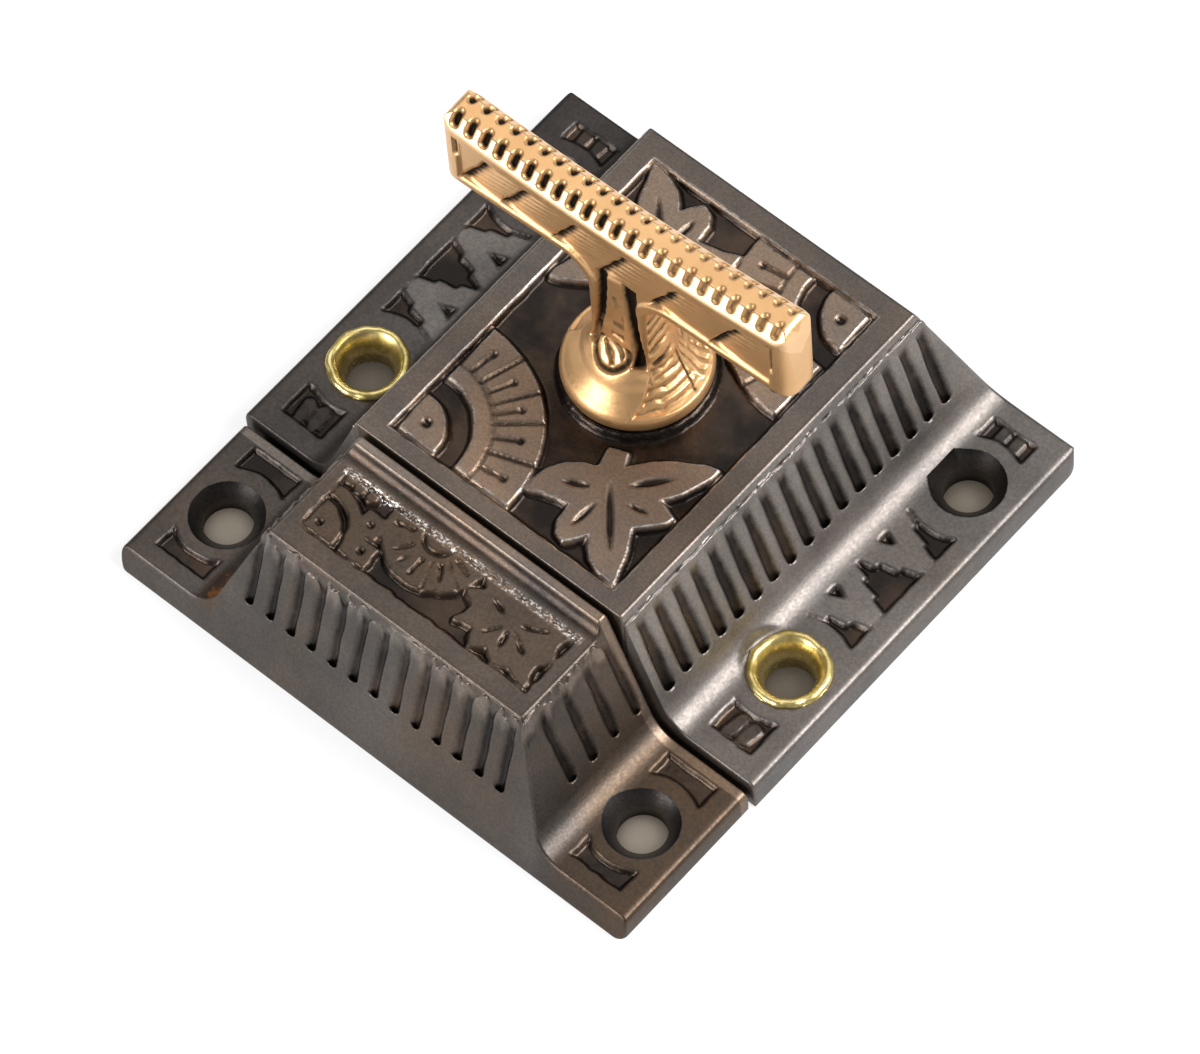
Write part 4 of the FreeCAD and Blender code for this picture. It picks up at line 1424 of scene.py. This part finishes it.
        # Panel and rim tones, with a little painted shade on the leaning front.
        light = np.where(panel, 0.30, 0.34) - 0.02 * front - 0.06 * flat * (x < 0)
        light = np.where(y > lip - 0.1, 0.9, light) + 0.5 * painted_glint_band - 0.10 * flat * (x > 0)
        light = light + 0.5 * ease(-self.crest_edge().distance(x, y) / 0.4)
        stain = ease(Ripple(22, 7.0).at(x, y))
        brown = np.where(panel, 0.8, 0.5) + 0.3 * stain - 0.25 * front * (1 - stain)
        brown = brown + 0.7 * ease((x - 17.5) / 2.5)
        rust = ease(1.25 - np.hypot((x - self.rust_x) * 1.5, y - self.rust_y) / 2.3)
        brown = np.clip(brown + rust, 0.0, 1.0) + 0.35 * rust
        down = (front_y - y) / math.cos(math.radians(self.end_lean))
        beside = (across - self.crest) / self.slope_share
        head = ease((down - 0.15) / 0.25) * ease((1.25 - down) / 0.4) * (across < self.crest + 0.4)
        edge = ease((beside - 0.15) / 0.25) * ease((1.25 - beside) / 0.4) * (y > front_y - 0.4)
        crust = np.maximum(np.maximum(painted_glint_band, 0.18 * panel), 0.3 * np.maximum(head, edge))
        return light, brown, crust

    def hollow_out(self) -> bpy.types.Object:
        """Hollow, bolt mouth and screw holes."""
        top, run = 11.8, self.side_run
        low = self.crest + self.height * run - self.wall / math.sin(math.radians(self.side_lean))
        high = low - top * run
        near = self.near_y + self.wall / math.sin(math.radians(self.end_lean))
        near_top, far = near + top * self.end_run, self.far_y - 1.7
        bm = bmesh.new()
        add_block(bm, [(-low, near), (low, near), (low, far), (-low, far)],
                  [(-high, near_top), (high, near_top), (high, far), (-high, far)], -0.01, top)
        add_box(bm, -6.4, 6.4, far - 1, self.far_y + 1, -1, 9.0)
        for x in (-self.hole_x, self.hole_x):
            self.add_screw_hole(bm, x)
        return make_object("strike_cutter", bm)


class Relief:
    """Depth and marks gathered point by point while a piece is carved."""

    def __init__(self, count: int) -> None:
        """Starts with nothing carved."""
        self.sink, self.hollow, self.rub = np.zeros(count), np.zeros(count), np.zeros(count)

    def cut(self, share: Array, depth: float, dark: float = 1.0) -> None:
        """Sinks the points by their share of a depth, the deepest cut counting, and darkens them."""
        self.sink = np.maximum(self.sink, depth * share)
        self.hollow = np.maximum(self.hollow, dark * share)

    def polish(self, share: Array) -> None:
        """Marks points that are rubbed bright."""
        self.rub = np.maximum(self.rub, share)


@dataclass
class TeeHandle:
    """The handle: a beaded tee bar on a slotted stem, a leafed round base and the spindle under it."""

    spindle_y: float = 5.6
    turn: float = 1.9
    top: float = 39.0
    bar_length: float = 35.0
    bar_half: float = 2.0
    depth: float = 8.75
    dip: float = 1.0
    end_lean: float = 0.5
    end_round: float = 1.75
    end_fall: float = 1.1
    stem_half: float = 2.9
    bracket: float = 2.6
    base_low: float = 15.6
    base_radius: float = 6.25
    flare_height: float = 9.5
    band_rise: float = 1.2
    band_reach: float = 1.0
    bead_pitch: float = 1.44
    bead_count: int = 23
    rail: float = 2.2
    low_rail: float = 1.0
    panel_low: float = 31.6
    panel_half: float = 15.6
    lean: float = 0.62
    bulge_low: float = 19.4
    slot_low: float = 20.5
    slot_high: float = 31.0
    voxel: float = 0.135

    def top_at(self, x: Array) -> Array:
        """Height of the dished top along the bar."""
        return self.top - self.dip * np.clip(1 - (x / (self.bar_length / 2 - self.end_lean)) ** 2, 0.0, 1.0)

    def silhouette(self) -> list[Point]:
        """Outline of the tee seen from the front, from the middle of its top to the base and back."""
        half, low = self.bar_length / 2, self.top - self.depth
        points = [(x, float(self.top_at(np.array(x)))) for x in np.linspace(0, half - self.end_lean, 12)[1:]]
        points.append((half, low))
        centre = (self.stem_half + self.bracket, low - self.bracket)
        for angle in np.linspace(math.pi / 2, math.pi, 7):
            across, along = self.bracket * math.cos(angle), self.bracket * math.sin(angle)
            points.append((centre[0] + across, centre[1] + along))
        points.append((self.stem_half, self.base_low + 0.5))
        return [(0.0, self.top - self.dip)] + points + [(-x, z) for x, z in reversed(points)]

    def body(self) -> bmesh.types.BMesh:
        """Tee, base, journal, square and riveted end, overlapping one another."""
        bm = bmesh.new()
        verts = [bm.verts.new(Vector((x, -self.bar_half, z)) * MM) for x, z in self.silhouette()]
        face = bm.faces.new(verts)
        moved = bmesh.ops.extrude_face_region(bm, geom=[face])["geom"]
        back = [g for g in moved if isinstance(g, bmesh.types.BMVert)]
        bmesh.ops.translate(bm, verts=back, vec=Vector((0, 2 * self.bar_half, 0)) * MM)
        bmesh.ops.contextual_create(bm, geom=verts)
        bmesh.ops.recalc_face_normals(bm, faces=bm.faces)
        long_edges = [e for e in bm.edges if e.calc_face_angle(0.0) > 0.5]
        bmesh.ops.bevel(bm, geom=long_edges, offset=0.45 * MM, offset_type="OFFSET", segments=3, profile=0.5,
                        affect="EDGES", material=-1, clamp_overlap=True)
        self.add_base(bm)
        add_round(bm, 0, 0, 8.7, self.base_low + 1, 2.6, 2.6)
        add_box(bm, -1.8, 1.8, -1.8, 1.8, 4.5, 8.8)
        add_round(bm, 0, 0, 3.8, 4.6, 3.1, 3.1)
        return bm

    def add_base(self, bm: bmesh.types.BMesh) -> None:
        """Round base with a thick rolled rim, swept up to the stem."""
        low, r = self.base_low, self.base_radius
        high = low + self.flare_height
        rim = [(r - 0.5, low), (r - 0.14, low + 0.2), (r, low + 0.7), (r - 0.05, low + 1.3),
               (r - 0.3, low + 1.75), (r - 0.95, low + 2.3)]
        flare = [(4.5, low + 3.2), (3.87, low + 4.3), (3.4, low + 5.6), (3.0, low + 7.2), (2.4, low + 8.6)]
        spin_round(bm, [(0.0, low)] + rim + flare + [(1.6, high), (0.0, high)], closed=False)

    @staticmethod
    def draw_in(past: Array, above: Array, radius: float) -> tuple[Array, Array]:
        """Draws what stands out past a corner onto an arc.

        Args:
            past: how far each point lies beyond the arc's middle one way.
            above: how far it lies beyond it the other way.
            radius: radius of the arc.

        Returns:
            How far each point moves back both ways.
        """
        away = np.hypot(past, above)
        held = (past > 0) & (above > 0) & (away > radius)
        share = np.where(held, 1 - radius / np.maximum(away, 1e-6), 0.0)
        return past * share, above * share

    def shape(self, p: Array) -> Array:
        """Rounds the bar's ends in plan, lowers their corners and chamfers both long top edges.

        Args:
            p: points about the spindle, in millimetres.

        Returns:
            The moved points.
        """
        x, y, z = p.T.copy()
        end, side = self.bar_length / 2 - self.end_round, self.bar_half - self.end_round
        back, inward = self.draw_in(np.abs(x) - end, np.abs(y) - side, self.end_round)
        x, y = x - np.sign(x) * back, y - np.sign(y) * inward
        far = self.bar_length / 2 - self.end_lean - self.end_fall
        back, fall = self.draw_in(np.abs(x) - far, z - self.top + self.end_fall, self.end_fall)
        x, z = x - np.sign(x) * back, z - fall
        steep = math.hypot(1 / self.band_reach, 1 / self.band_rise)
        slack = (self.bar_half - np.abs(y)) / self.band_reach + (self.top_at(x) - z) / self.band_rise - 1
        moved = np.clip(-slack, 0.0, None) / steep ** 2
        y = y - np.sign(y) * moved / self.band_reach
        z = z - moved / self.band_rise
        bulge = np.clip(np.abs(y) - self.bar_half, 0.0, None) * (z < self.panel_low)
        y = y - np.sign(y) * bulge * ease((z - self.bulge_low) / 3.0)
        return np.stack([x, y, z], -1)

    def carve_beads(self, relief: Relief, p: Array) -> None:
        """Gaps between the beads on both chamfers, deep on the left arm and worn shallow on the right."""
        x, y, z = p.T
        most = (self.bead_count - 1) // 2
        aside = x - self.bead_pitch * np.clip(np.round(x / self.bead_pitch), -most, most)
        down = (self.top_at(x) - z) / self.band_rise
        inset = (self.bar_half - np.abs(y)) / self.band_reach
        along = (down + 1 - inset) / 2
        worn = ease((x + 3.0) / 9.0)
        run = along * math.hypot(self.band_rise, self.band_reach)
        beyond = np.clip(run - 0.80, 0.0, None) + np.clip(-0.12 - run, 0.0, None)
        wide = np.hypot(aside, beyond) - 0.46 + 0.05 * worn
        relief.cut(ease(-wide / 0.34) * (1 - 0.4 * worn), 0.55, 0.95)
        band = ease((1.1 - np.abs(run - 0.8)) / 0.25) * (z > self.panel_low)
        relief.polish(0.95 * band * ease((wide + 0.1) / 0.2))

    def carve_shingles(self, relief: Relief, p: Array, n: Array) -> None:
        """Leaning overlapped leaves in the long panels, each rising out of a step between rails, with
        painted shadow just past each step.
        """
        x, y, z = p.T
        u = np.where(y < 0, x, -x)
        face = ease((np.abs(n[:, 1]) - 0.55) / 0.25)
        tee = Figure.outline(self.silhouette()).distance(u, z)
        ends = np.maximum(np.abs(u) - self.panel_half, z - self.top_at(x) + self.rail)
        panel = np.maximum(tee + self.low_rail, ends)
        inside = face * ease(-panel / 0.32) * ease((z - 22.5) / 2.0)
        steps = np.array([-19.0, -13.9, -9.9, -4.75, 0.1, 5.15, 10.9])
        wave = 0.12 * Ripple(41, 0.9).at(u, z)
        slant = u - self.lean * (z - 34.0) + wave
        past = slant - steps[np.clip(np.searchsorted(steps, slant) - 1, 0, len(steps) - 1)]
        first = slant < steps[1]
        upper = ease((z - 30.2) / 1.2)
        fall = np.where(first, 0.0, np.exp(-past / 1.7) * ease(past / 0.3)) * upper
        hatch = 0.5 + 0.5 * np.sin(9.0 * (z - 0.35 * past) + 2.0 * wave)
        relief.cut(inside, 0.24, 0.1)
        relief.sink += inside * fall * (0.50 + 0.12 * hatch)
        # Painted shadow: the floor just past each step darkened, fading over a millimetre and a half and
        # streaked by the hatch.
        dark = ease((1.5 - past) / 1.3) * ease(past / 0.15) * (0.75 + 0.25 * hatch) * ~first * upper
        relief.hollow = np.maximum(relief.hollow, inside * dark)
        relief.polish(0.75 * face * np.exp(-np.abs(panel - 0.12) / 0.25) * (z > 25.0))
        for end, foot in ((-1, 34.4), (1, 33.2)):
            beside = np.abs(u - end * (self.panel_half + 0.02)) - 0.24
            slot = np.maximum(beside, np.maximum(foot - z, z - 36.9))
            relief.cut(face * ease(-slot / 0.2), 0.5, 0.85)

    def carve_stem(self, relief: Relief, p: Array) -> None:
        """Two slots that spread towards the foot, the oval leaf between their feet and pits in the rib."""
        x, y, z = p.T
        u = np.where(y < 0, x, -x) + 0.05
        front = ease((np.abs(y) - 0.9) / 0.4) * (z < self.panel_low)
        spread = 1.35 + 0.0095 * np.clip(self.slot_high - z, 0.0, None) ** 2
        width = np.where(u > 0, 0.80, 0.62) - 0.016 * (self.slot_high - z)
        ends = np.maximum(self.slot_low - z, z - self.slot_high)
        slot = np.maximum(np.abs(np.abs(u) - spread) - width, ends)
        share = front * ease(-slot / 0.30)
        rough = 0.5 + 0.5 * Ripple(42, 0.55).at(u, z)
        shallow = (u < 0) * ease((24.6 - z) / 0.8)
        relief.cut(share * (1 - 0.55 * shallow * rough), 0.85, 1.0)
        oval = np.hypot((u + 0.28) / 1.72, (z - 21.05) / 1.08)
        ring = ease((0.26 - np.abs(oval - 1.0)) / 0.2) * (z < 21.9)
        relief.cut(front * ring, 0.24, 0.7)
        ribs = 0.5 + 0.5 * np.sin(5.2 * (z + 0.7 * u) + 1.6 * rough)
        inside = front * ease((0.85 - oval) / 0.2)
        relief.cut(inside * ease((ribs - 0.5) / 0.4), 0.2, 0.6)
        relief.polish(0.8 * inside * ease((0.5 - ribs) / 0.3))
        rib = front * ease((0.7 - np.abs(u)) / 0.2) * ease((z - 22.2) / 0.4) * ease((29.5 - z) / 1.0)
        relief.cut(rib * ease((Ripple(44, 0.75).at(u, z) - 0.1) / 0.6), 0.2, 0.55)
        notch = np.maximum(np.abs(u + 1.2) - 0.5, np.maximum(29.3 - z, z - 31.2))
        relief.cut(front * ease(-notch / 0.2) * ease((np.sin(9.0 * (z + 0.5 * u)) - 0.1) / 0.5), 0.35, 0.8)

    def carve_base(self, relief: Relief, p: Array) -> None:
        """Feather ridges up the stem's sides and over the base, beside two smooth lobes with raised lips."""
        x, y, z = p.T
        r, angle = np.hypot(x, y), np.degrees(np.arctan2(y, x))
        lip = -30.0 - 10.5 * (r - 3.4)
        last = np.where((angle > 125) | (angle < -165), np.mod(angle, 360.0), -999.0)
        near = np.minimum(angle - lip, 62.0 - angle)
        far = np.minimum(last - 125.0, 195.0 - last)
        edge = np.maximum(near, far) * np.pi / 180 * r
        zone = ease(edge / 0.22) * ease((20.9 - z) / 0.6) * ease((z - 17.15) / 0.35)
        rough = Ripple(43, 0.8).at(x + y, z)
        ridge = 0.5 + 0.5 * np.sin(5.6 * (r - z) + 0.012 * angle + 1.3 * rough)
        vein = 0.5 + 0.5 * np.sin(0.6 * angle + 1.5 * rough)
        second = ease((angle - 13.0) / 3.0) * ease((47.0 - angle) / 3.0)
        second = np.maximum(second, ease((last - 193.0) / 3.0))
        comb = ridge * (1 - second) + vein * second
        relief.cut(zone, 0.24, 0.05)
        broken = ease((rough + 0.75) / 0.7)
        relief.sink += 0.16 * zone * comb * broken
        relief.hollow = np.maximum(relief.hollow, 0.5 * zone * broken * ease((comb - 0.62) / 0.36))
        groove = np.abs(angle - 11.0 + 6.0 * (r - 4.6)) * np.pi / 180 * r
        relief.cut(zone * ease((0.24 - groove) / 0.2), 0.42, 0.7)
        relief.polish(zone * ease((0.35 - comb) / 0.3) * 0.7)
        relief.polish(0.85 * np.exp(-np.abs(edge + 0.12) / 0.16) * ease((20.6 - z) / 0.4) * (z > 17.0))
        v = np.where(x > 0, y, -y)
        flank = ease((v + 1.75) / 0.3) * ease((0.9 - v) / 0.8) * (np.abs(x) > 2.3)
        flank = flank * ease((z - 20.0) / 0.8) * ease((27.6 - z) / 0.8)
        barb = 0.5 + 0.5 * np.sin(4.2 * (z - 0.25 * v) + 0.9 * rough)
        relief.cut(flank * ease((barb - 0.35) / 0.5), 0.24, 0.62)
        relief.polish(0.5 * flank * ease((0.3 - barb) / 0.3))

    def build(self) -> bpy.types.Object:
        """Builds the handle.

        Returns:
            The handle as one closed mesh.
        """
        made = make_object("tee_handle_carved", self.body())
        step = made.modifiers.new("melt", "REMESH")
        step.mode = "VOXEL"
        step.voxel_size = self.voxel * MM
        step.use_smooth_shade = True
        add_smooth(made, "soften", 3)
        settle_modifiers(made)
        move_points(made, self.shape(read_points(made)))
        add_smooth(made, "ease_off", 9)
        settle_modifiers(made)
        p = read_points(made)
        normals = np.zeros(len(p) * 3)
        made.data.vertex_normals.foreach_get("vector", normals)
        n = normals.reshape(-1, 3)
        relief = Relief(len(p))
        self.carve_beads(relief, p)
        self.carve_shingles(relief, p, n)
        self.carve_stem(relief, p)
        self.carve_base(relief, p)
        p = p - n * relief.sink[:, None]
        p[:, 2] = np.minimum(p[:, 2], self.top)
        turn = np.array(Matrix.Rotation(math.radians(self.turn), 3, "Z"))
        move_points(made, p @ turn.T + np.array([0, self.spindle_y, 0]))
        for mark, values in ((Mark.HOLLOW, relief.hollow), (Mark.RUB, relief.rub)):
            layer = made.data.attributes.new(mark.value, "FLOAT", "POINT")
            layer.data.foreach_set("value", values.astype(np.float32))
        return made


@dataclass
class Eyelet:
    """A tubular brass eyelet with an uneven rolled flare."""

    side: int
    x: float = 22.3
    y: float = -2.75
    flange: float = 3.2
    bore: float = 2.1
    tube: float = 2.7
    rim: float = 3.58
    crown: float = 3.15
    crown_height: float = 0.55
    sway: float = 0.03
    sway_drop: float = 0.07

    def build(self) -> bpy.types.Object:
        """Builds the eyelet.

        Returns:
            The eyelet as a closed mesh.
        """
        f, top = self.flange, self.flange + self.crown_height
        profile = [(self.bore, 0.0), (self.tube, 0.0), (self.tube, f + 0.01), (self.rim - 0.1, f + 0.01),
                   (self.rim, f + 0.1), (self.rim - 0.04, f + 0.3), (self.rim - 0.2, f + 0.46),
                   (self.crown, top), (self.crown - 0.2, top - 0.07), (self.crown - 0.4, top - 0.27),
                   (self.bore + 0.38, f - 0.1), (self.bore + 0.16, f - 0.6), (self.bore, f - 1.3)]
        bm = bmesh.new()
        spin_round(bm, profile, closed=True)
        ripple = Ripple(31 + self.side, 0.7)
        for vert in bm.verts:
            if vert.co.z > (f + 0.05) * MM:
                angle = math.atan2(vert.co.y, vert.co.x)
                wave = float(ripple.at(np.array(3 * math.cos(angle)), np.array(3 * math.sin(angle))))
                vert.co.x *= 0.98 + self.sway * wave
                vert.co.y *= 0.98 + self.sway * wave
                vert.co.z += self.sway_drop * (wave - 1) * MM
            vert.co += Vector((self.side * self.x, self.y, 0)) * MM
        for face in bm.faces:
            face.smooth = True
        return make_object("eyelet_right_rolled" if self.side > 0 else "eyelet_left_rolled", bm)


def dress(made: bpy.types.Object, material: bpy.types.Material) -> None:
    """Gives an object one material and no other."""
    made.data.materials.clear()
    made.data.materials.append(material)


@dataclass
class Works:
    """The works inside, which keep their own solids and take their finishes here."""

    finishes: dict[str, ShopSteel]

    def dress(self, effects: SharedEffects) -> None:
        """Dresses each node with its finish.

        Args:
            effects: the shared node groups.
        """
        made: dict[str, bpy.types.Material] = {}
        for node, finish in self.finishes.items():
            if finish.name not in made:
                made[finish.name] = finish.make(effects)
            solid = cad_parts[node]
            if not solid.material_slots:
                solid.data.materials.append(made[finish.name])
            for slot in solid.material_slots:
                slot.material = made[finish.name]
            log.info("%s dressed as %s", node, finish.name)


@dataclass
class BowSpring:
    """Flat spring behind the bolt, which the bolt flattens against its pad."""

    node: str = "bow_spring"
    pad_y: float = 20.76
    middle_z: float = 5.0
    keep: float = 0.38

    def build(self) -> bpy.types.Object:
        """Builds the spring on its solid's form.

        Returns:
            The spring at rest.
        """
        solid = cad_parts[self.node]
        bm = bmesh.new()
        bm.from_mesh(solid.data)
        bm.transform(solid.matrix_world)
        bmesh.ops.remove_doubles(bm, verts=bm.verts, dist=WELD)
        bmesh.ops.recalc_face_normals(bm, faces=bm.faces)
        return make_object("bow_spring_flexing", bm)

    def flex(self, made: bpy.types.Object) -> None:
        """Gives the spring a mesh of its own; it is not bent.

        Args:
            made: the finished spring.
        """
        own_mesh(made)


@dataclass(frozen=True)
class Lamp:
    """A soft square lamp: the way to it, its distance and side in metres, and its watts."""

    name: str
    toward: tuple[float, float, float]
    distance: float
    size: float
    power: float

    def hang(self) -> None:
        """Hangs the lamp so that it faces the object."""
        data = bpy.data.lights.new(self.name, "AREA")
        data.shape, data.size, data.energy = "SQUARE", self.size, self.power
        lamp = bpy.data.objects.new(self.name, data)
        away = Vector(self.toward).normalized()
        turn = away.to_track_quat("Z", "Y").to_matrix().to_4x4()
        lamp.matrix_world = Matrix.Translation(away * self.distance) @ turn
        bpy.context.scene.collection.objects.link(lamp)


@dataclass
class Studio:
    """Pale floor, soft lights and the camera."""

    azimuth: float = 45.54
    elevation: float = 60.03
    roll: float = -5.33
    distance: float = 718.3
    target: tuple[float, float, float] = (2.5, -2.7, 4.0)
    lens: float = 270.0
    sensor: float = 36.0
    world_level: float = 0.20
    floor_size: float = 12.0
    floor_glow: float = 0.72
    # Painted shadow on the floor under the object, seen through its holes: deep where closed in, dim where
    # more open, inside the box of under_x and under_y.
    floor_shadow_deep: Colour = (0.030, 0.022, 0.015, 1)
    floor_shadow_dim: Colour = (0.34, 0.295, 0.24, 1)
    under_x: float = 25.4
    under_y: float = 27.0
    under_fade: float = 0.8
    hole_reach: float = 5.0
    lamps: tuple[Lamp, ...] = (Lamp("key", (0.60, 0.35, 0.70), 0.8, 0.46, 9.0),
                               Lamp("top", (-0.36, 0.35, 0.87), 0.9, 0.85, 2.7),
                               Lamp("front", (-0.30, -0.88, 0.40), 0.8, 0.40, 4.8))

    def camera(self) -> None:
        """Sets the camera where the photograph was taken."""
        az, el, roll = (math.radians(a) for a in (self.azimuth, self.elevation, self.roll))
        back = Vector((math.cos(el) * math.sin(az), -math.cos(el) * math.cos(az), math.sin(el)))
        right = Vector((math.cos(az), math.sin(az), 0.0))
        up = back.cross(right)
        side = math.cos(roll) * right + math.sin(roll) * up
        head = -math.sin(roll) * right + math.cos(roll) * up
        data = bpy.data.cameras.new("camera")
        data.lens, data.sensor_width, data.sensor_fit = self.lens, self.sensor, "HORIZONTAL"
        data.clip_start, data.clip_end = 0.01, 50.0
        camera = bpy.data.objects.new("camera", data)
        place = (Vector(self.target) + back * self.distance) * MM
        turn = Matrix((side, head, back)).transposed().to_4x4()
        camera.matrix_world = Matrix.Translation(place) @ turn
        bpy.context.scene.collection.objects.link(camera)
        bpy.context.scene.camera = camera

    def floor(self) -> None:
        """Lays the floor: white where it is seen, with the object's shadow left faint on it and a painted
        shadow under the object, darker where the floor is more closed in.
        """
        bm = bmesh.new()
        bmesh.ops.create_grid(bm, x_segments=1, y_segments=1, size=self.floor_size / 2)
        made = make_object("floor", bm)
        made.location.z = -0.00002
        material = bpy.data.materials.new("pale_floor")
        material.use_nodes = True
        graph = Graph(material.node_tree)
        plain = graph.node("ShaderNodeBsdfDiffuse")
        plain.inputs["Color"].default_value = (0.8, 0.8, 0.8, 1)
        faint = graph.node("ShaderNodeBsdfDiffuse")
        glow = graph.node("ShaderNodeEmission")
        open_sky = graph.node("ShaderNodeAmbientOcclusion", samples=8)
        open_sky.inputs["Distance"].default_value = self.hole_reach * MM
        # Painted shadow: under the object the floor's glow is darkened, the more so where it is closed in.
        under = graph.mix(graph.fit(open_sky.outputs["AO"], 0.12, 0.75), self.floor_shadow_deep, self.floor_shadow_dim)
        spot = graph.node("ShaderNodeSeparateXYZ")
        graph.put(spot.inputs[0], graph.place())
        shares = []
        for place, reach in zip(spot.outputs, (self.under_x, self.under_y)):
            aside = graph.math("ABSOLUTE", place)
            shares.append(graph.fit(aside, reach * MM, (reach + self.under_fade) * MM, 1, 0))
        tone = graph.mix(graph.math("MULTIPLY", *shares), (1.0, 1.0, 1.0, 1), under)
        graph.put(glow.inputs["Color"], tone)
        glow.inputs["Strength"].default_value = self.floor_glow
        rest = 1.0 - self.floor_glow
        graph.put(faint.inputs["Color"], graph.mix(1.0, tone, (rest, rest, rest, 1), "MULTIPLY"))
        seen = graph.node("ShaderNodeAddShader")
        graph.put(seen.inputs[0], faint.outputs[0])
        graph.put(seen.inputs[1], glow.outputs[0])
        path = graph.node("ShaderNodeLightPath")
        direct = graph.math("MAXIMUM", path.outputs["Is Camera Ray"], path.outputs["Is Glossy Ray"])
        direct = graph.math("MAXIMUM", direct, path.outputs["Is Transmission Ray"])
        choice = graph.node("ShaderNodeMixShader")
        graph.put(choice.inputs[0], direct)
        graph.put(choice.inputs[1], plain.outputs[0])
        graph.put(choice.inputs[2], seen.outputs[0])
        output = graph.node("ShaderNodeOutputMaterial")
        graph.put(output.inputs["Surface"], choice.outputs[0])
        dress(made, material)

    def world(self) -> None:
        """Fills the room with plain dim light."""
        world = bpy.data.worlds.new("room")
        world.use_nodes = True
        graph = Graph(world.node_tree)
        back = graph.node("ShaderNodeBackground")
        back.inputs["Color"].default_value = (1, 1, 1, 1)
        back.inputs["Strength"].default_value = self.world_level
        graph.put(graph.node("ShaderNodeOutputWorld").inputs["Surface"], back.outputs[0])
        bpy.context.scene.world = world

    def build(self) -> None:
        """Sets up the whole studio."""
        self.camera()
        self.floor()
        self.world()
        for lamp in self.lamps:
            lamp.hang()
        bpy.context.scene.view_settings.view_transform = "Standard"


def finish_piece(made: bpy.types.Object, material: bpy.types.Material, body: Body, slot: Slot,
                 node: str) -> None:
    """Dresses a piece, rides it on its body and puts it in its node's place.

    Args:
        made: the piece.
        material: its finish.
        body: the body that it rides on.
        slot: the record's slot of its finish; not used.
        node: the node that it stands for.
    """
    dress(made, material)
    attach(made, body.value)
    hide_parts(node)
    log.info("%s stands for %s, %d faces", made.name, node, len(made.data.polygons))


def main() -> None:
    """Builds every piece in order."""
    logging.basicConfig(level=logging.INFO, format="%(message)s")
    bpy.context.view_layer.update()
    effects = SharedEffects()
    iron, bronze = CastIron().make(effects), HandledBronze().make(effects)
    brass = EyeletBrass().make(effects)
    for casting in (LatchCase(), Strike()):
        finish_piece(casting.build(), iron, Body.FRAME, Slot.IRON, casting.node)
    finish_piece(TeeHandle().build(), bronze, Body.HANDLE, Slot.BRONZE, "t_handle")
    for side, node in ((-1, "eyelet_left"), (1, "eyelet_right")):
        finish_piece(Eyelet(side).build(), brass, Body.FRAME, Slot.BRASS, node)
    steel = ShopSteel("plain_steel", (0.36, 0.34, 0.32, 1), (0.20, 0.14, 0.10, 1), 0.42)
    plate = ShopSteel("sheet_steel", (0.30, 0.29, 0.28, 1), (0.19, 0.13, 0.09, 1), 0.5, 3000.0)
    blued = ShopSteel("blued_spring_steel", (0.20, 0.22, 0.27, 1), (0.12, 0.11, 0.12, 1), 0.3)
    Works({"dog": steel, "spindle_washer": steel, "latch_bolt": steel, "back_plate": plate}).dress(effects)
    spring = BowSpring()
    bow = spring.build()
    finish_piece(bow, blued.make(effects), Body.FRAME, Slot.SPRING, spring.node)
    spring.flex(bow)
    Studio().build()


if __name__ == "__main__":
    main()
